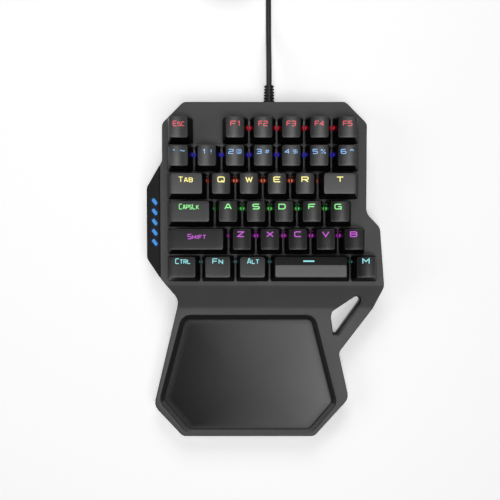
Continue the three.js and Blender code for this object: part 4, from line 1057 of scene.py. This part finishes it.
# Palm pad: a crowned slab with a rounded edge, in its recess. Corners anticlockwise from the back left, in the
# rest's frame; the rounded edge gets a paler line, painted highlight and wear, on the rings that its rim shares name
pad = {
    "corners": [(-56.18, -8.3), (-71.4, -65.71), (-53.87, -86.5), (32.12, -86.5), (48.4, -67.55), (33.31, -8.3)],
    "corner": 4.0, "base": -2.2, "bevel": 0.3, "thickness": 1.7, "round": 0.9, "roundSteps": 5, "crown": 0.9,
    # the rings of the edge's paler line, painted highlight and wear
    "arcSteps": 6, "topShares": (0.93, 0.8, 0.62, 0.4, 0.2), "rimWear": {4: 0.4, 5: 0.8, 6: 1.0, 7: 0.8},
    # how the painted sheen grows towards the pad's right side
    "handling": 2.0, "recessReach": 4.4, "recessDepth": 2.45, "recessLip": 0.05, "wallSlope": (0.2, 0.95),
    "frontSlope": 0.3,
}
rest = {"rear": -26.55, "height": 17.5, "fall": 2.0, "length": 91.9}
restPlace = (Matrix.Translation((0, rest["rear"], rest["height"]))
             @ Matrix.Rotation(math.atan(rest["fall"] / rest["length"]), 4, "X"))


# An outline's corners, each with the directions of its two sides
def sidesOf(corners):
    for i, here in enumerate(corners):
        here, before, after = Vector(here), Vector(corners[i - 1]), Vector(corners[(i + 1) % len(corners)])
        yield here, (here - before).normalized(), (after - here).normalized()


# Moves each side of an outline inwards
def insetOutline(corners, distance):
    return [here + Vector((-(into.y + out.y), into.x + out.x)) * (distance / (1 + into.dot(out)))
            for here, into, out in sidesOf(corners)]


def arcCorners(corners, radius, steps):
    ring = []
    for here, into, out in sidesOf(corners):
        turn = math.atan2(into.cross(out), into.dot(out))
        start = here - into * radius * math.tan(turn / 2)
        centre = start + Vector((-into.y, into.x)) * radius
        ring += [centre + Matrix.Rotation(turn * k / steps, 2) @ (start - centre) for k in range(steps + 1)]
    return ring


def buildPad():
    base, top, crown = pad["base"], pad["base"] + pad["thickness"], pad["crown"]

    def ringAt(shrink, z):
        outline = arcCorners(insetOutline(pad["corners"], shrink), pad["corner"] - shrink, pad["arcSteps"])
        return [(p.x, p.y, z) for p in outline]

    rings = [ringAt(pad["bevel"], base), ringAt(0, base + pad["bevel"])]
    for k in range(pad["roundSteps"] + 1):
        turn = math.pi / 2 * k / pad["roundSteps"]
        rings.append(ringAt(pad["round"] * (1 - math.cos(turn)), top - pad["round"] * (1 - math.sin(turn))))
    head = rings[-1]
    middle = sum((Vector(p) for p in head), Vector()) / len(head)
    for share in pad["topShares"]:
        rings.append([(mixed(middle.x, x, share), mixed(middle.y, y, share), top + crown * (1 - share ** 2))
                      for x, y, _ in head])
    points, faces = skin(rings)
    points[-1] = (middle.x, middle.y, top + crown)
    mesh = meshFrom("palmPad", points, faces, restPlace, sharpAngle=50)
    setShares(mesh, "rim", [pad["rimWear"].get(i // len(head), 0.0) for i in range(len(points))])
    left, right = min(p[0] for p in points), max(p[0] for p in points)
    # Painted sheen: paler from the pad's left side to its right side
    setShares(mesh, "handled", [((p[0] - left) / (right - left)) ** pad["handling"] for p in points])
    return mesh


# Pad rubber: dark at its left side, and painted paler towards its right side as a sheen
padFinish, padTree, padPlace = newFinish("padRubber", **{"Specular IOR Level": 0.1})
padShade = blendColours(padTree, attribute(padTree, "handled"), srgb(31), srgb(118))
padGrain = grained(padTree, padPlace, padShade, 0.16, 0.08, 0.34, 0.06)
# The pad's rounded edge gets a paler line: painted highlight and wear
padWornSheen = placeGroup(padTree, wearAndSheenGroup, Coordinates=padPlace, Colour=padGrain["Colour"], Worn_Colour=srgb(84),
                     Roughness=padGrain["Roughness"], Rim=attribute(padTree, "rim"), Amount=0.7)
feedShader(padTree, {"Base Color": padWornSheen["Colour"], "Roughness": padWornSheen["Roughness"]}, padGrain["Height"], 0.12)
dress(linked("palmPad", buildPad()), "case", "pad", padFinish, stands=["palm_pad"])


# The recess's back and side walls get the darker finish: painted shade
def shadeRecess(mesh):
    toRest = restPlace.inverted() @ toMetres.inverted()
    reach = insetOutline(pad["corners"], -pad["recessReach"])
    low, high = pad["wallSlope"]
    for face in mesh.polygons:
        at, turned = toRest @ face.center, (toRest.to_3x3() @ face.normal).normalized()
        inside = all((b - a).cross(at.xy - a) > 0 for a, b in zip(reach[-1:] + reach[:-1], reach))
        deep = -pad["recessDepth"] < at.z < -pad["recessLip"]
        if inside and deep and low < turned.z < high and turned.y < pad["frontSlope"]:
            face.material_index = 2


shadeRecess(topCover.data)
print("pad ready")

# Flank: a dark trim with the bars' light painted on it as glow, and the lit bars themselves
flank = {"barX": -77.84, "firstBarY": 49.35, "pitch": 7.2, "count": 5, "barLength": 4.95, "barWidth": 2.3,
         "slantDegrees": 40.5, "glowReach": 3.2}
barMiddle = (flank["barX"] * mm, (flank["firstBarY"] - flank["pitch"] * (flank["count"] - 1) / 2) * mm, 0.0)
trimFinish, trimTree, trimPlace = newFinish("trimGloss", **{"Emission Strength": 1.0, "Specular IOR Level": 0.06})
trimGrain = grained(trimTree, trimPlace, srgb(28, 28, 29), 0.6, 0.15, 0.45, 0.08)
trimGlow = placeGroup(trimTree, barGlowGroup, Coordinates=trimPlace, Middle=barMiddle, Pitch=flank["pitch"] * mm,
                      Count=flank["count"], Half_Length=(flank["barLength"] - flank["barWidth"]) / 2 * mm,
                      Tilt=math.radians(flank["slantDegrees"]), Reach=flank["glowReach"] * mm, Glow=srgb(4, 30, 62))
feedShader(trimTree, {"Base Color": trimGrain["Colour"], "Roughness": trimGrain["Roughness"],
                      "Emission Color": trimGlow["Colour"]}, trimGrain["Height"], 0.08)
roundedCopy("side_trim", "sideTrim", "trim", 0.25, [trimFinish])
refinish("side_light_guide", glowing("barLight", srgb(48, 142, 222), 0.76))
housingFinish = moulded("housingSmoke", srgb(30, 30, 33), 0.28, grain=0.5, bump=0.08, spread=0.15)
for row in rows:
    refinish(f"switch_row_{row}", housingFinish)
refinish("switch_plate", brushed("plateSteel", srgb(110, 112, 115), 0.42, (0.5, 5.0, 5.0)))

# Circuit board: green mask with traces that run in two ways
board = {"turnDegrees": 45,
         "traces": {"Scale": 160.0, "Mortar Size": 0.03, "Mortar Smooth": 0.3, "Brick Width": 1.7}}
boardFinish, boardTree, boardPlace = newFinish("boardMask", Roughness=0.35)
boardGrain = grained(boardTree, boardPlace, srgb(22, 66, 40), 1.2, 0.2, 0.35, 0.1)
boardTurned = addNode(boardTree, "ShaderNodeMapping", {
    "Vector": boardPlace, "Rotation": (0, 0, math.radians(board["turnDegrees"]))})
traces = addNode(boardTree, "ShaderNodeTexBrick", {"Vector": boardTurned, **board["traces"]})
traceShade = blendColours(boardTree, traces.outputs["Fac"], boardGrain["Colour"], srgb(44, 104, 62))
feedShader(boardTree, {"Base Color": traceShade, "Roughness": boardGrain["Roughness"]})
refinish("circuit_board", boardFinish)

footFinish = moulded("footRubber", srgb(28), 0.75, grain=0.7, bump=0.35)
for corner in ("rear_left", "rear_right", "front_left", "front_right"):
    roundedCopy(f"foot_{corner}", f"foot_{corner}_pad", "rubber", 0.35, [footFinish])
print("flank, switches, boards and feet ready")

# Screws up through the lower cover: a domed head with a crossed recess and a shank
screw = {
    "places": [(-53.4, 113.95), (53.05, 113.95), (-55.76, -23.15), (25.7, -23.15), (-55.76, -88.45), (37.36, -88.45)],
    "seat": 5.2, "headRadius": 2.4, "headHeight": 1.5, "shankRadius": 1.1, "shankLength": 3.8, "slotWidth": 0.7,
    "slotDepth": 0.9, "headSides": 28, "shankSides": 16, "domeShare": 0.8, "slotReachShare": 1.15, "shankShare": 0.49,
}


def buildScrewTree():
    tree, inside, outside = newShapeTree(
        "screwField", "Head Radius, Head Height, Shank Radius, Shank Length, Slot Width, Slot Depth")
    times = partial(mathNode, tree, "MULTIPLY")
    radius, below = inside["Head Radius"], xyz(tree, Z=times(inside["Head Height"], -1.0))
    head = addNode(tree, "GeometryNodeMeshCone", {
        "Vertices": screw["headSides"], "Depth": inside["Head Height"], "Radius Top": radius,
        "Radius Bottom": times(radius, screw["domeShare"])})
    reach, deep = times(radius, screw["slotReachShare"]), times(inside["Slot Depth"], 2.0)
    cuts = []
    for long, short in ("XY", "YX"):
        size = xyz(tree, **{long: reach, short: inside["Slot Width"], "Z": deep})
        block = addNode(tree, "GeometryNodeMeshCube", {"Size": size})
        cuts.append(transformed(tree, block, Translation=below))
    carved = addNode(tree, "GeometryNodeMeshBoolean", {
        "Mesh 1": transformed(tree, head, Translation=below), "Mesh 2": cuts}, operation="DIFFERENCE")
    shank = addNode(tree, "GeometryNodeMeshCylinder", {
        "Vertices": screw["shankSides"], "Radius": inside["Shank Radius"], "Depth": inside["Shank Length"]})
    shank = transformed(tree, shank, Translation=xyz(tree, Z=times(inside["Shank Length"], screw["shankShare"])))
    together = addNode(tree, "GeometryNodeJoinGeometry", {0: [carved, shank]})
    return finishTree(tree, inside, outside, onPoints(tree, inside, together))


screwFinish = brushed("screwSteel", srgb(96, 97, 99), 0.38, (2.0, 2.0, 2.0))
screwPoints = pointMesh("screwPoints", [(x, y, screw["seat"]) for x, y in screw["places"]])
dress(bakeShape("coverScrews", buildScrewTree(), screwPoints, screw, screwFinish, 30), "case", "plate")
print("screws ready")

# Stage: a white floor, which the camera and polished things see as white paper
stage = {"half": 1500.0, "colour": srgb(240), "lift": 0.36, "near": 450.0, "far": 1200.0}
floorCorners = [(x * stage["half"], y * stage["half"], 0) for x, y in ((-1, -1), (1, -1), (1, 1), (-1, 1))]
floorMesh = meshFrom("floor", floorCorners, [(0, 1, 2, 3)])
floor = linked("floor", floorMesh)
floorFinish = bpy.data.materials.new("floorPaper")
floorFinish.use_nodes = True
floorTree = floorFinish.node_tree
floorTree.nodes.clear()
calc = partial(mathNode, floorTree)
paths = addNode(floorTree, "ShaderNodeLightPath").outputs
seen = calc("MAXIMUM", calc("MAXIMUM", paths["Is Camera Ray"], paths["Is Transmission Ray"]), paths["Is Glossy Ray"])
paper = addNode(floorTree, "ShaderNodeBsdfDiffuse", {"Color": stage["colour"]})
away = vectorNode(floorTree, "LENGTH", addNode(floorTree, "ShaderNodeTexCoord").outputs["Object"]).outputs["Value"]
level = ramp(floorTree, away, stage["near"] * mm, stage["far"] * mm, "LINEAR", stage["lift"])
lift = addNode(floorTree, "ShaderNodeEmission", {"Color": (1, 1, 1, 1), "Strength": calc("MULTIPLY", seen, level)})
both = addNode(floorTree, "ShaderNodeAddShader", {0: paper, 1: lift})
addNode(floorTree, "ShaderNodeOutputMaterial", {"Surface": both})
floorMesh.materials.append(floorFinish)

# Light: a small box above and in front, one to the front right for the pad's sheen, large ones on the left and
# behind, and a weak one in front. Each has its place, size and watts
lights = {
    "world": 0.05, "aim": (-10, 15, 30),
    "boxes": {
        "topBox": ((0, -165, 862), 240, 1.75), "sideBox": ((264, -259, 784), 260, 1.1),
        "leftKey": ((-661, 15, 576), 420, 1.2), "rearKey": ((-10, 620, 600), 420, 2.4),
        "frontFill": ((60, -580, 600), 420, 0.2),
    },
}
scene.world = bpy.data.worlds.new("sky")
scene.world.use_nodes = True
skyTree = scene.world.node_tree
skyTree.nodes.clear()
paths = addNode(skyTree, "ShaderNodeLightPath").outputs
seen = mathNode(skyTree, "MAXIMUM", paths["Is Camera Ray"], paths["Is Transmission Ray"])
sky = addNode(skyTree, "ShaderNodeBackground", {
    "Color": (1, 1, 1, 1), "Strength": mathNode(skyTree, "MAXIMUM", seen, lights["world"])})
addNode(skyTree, "ShaderNodeOutputWorld", {"Surface": sky})
for name, (place, size, watts) in lights["boxes"].items():
    data = bpy.data.lights.new(name, "AREA")
    data.size, data.energy = size * mm, watts
    light = linked(name, data)
    light.location = Vector(place) * mm
    light.rotation_euler = (Vector(lights["aim"]) - Vector(place)).to_track_quat("-Z", "Y").to_euler()
    light.visible_camera = False
scene.view_settings.view_transform = "Standard"
print("stage and lights ready")
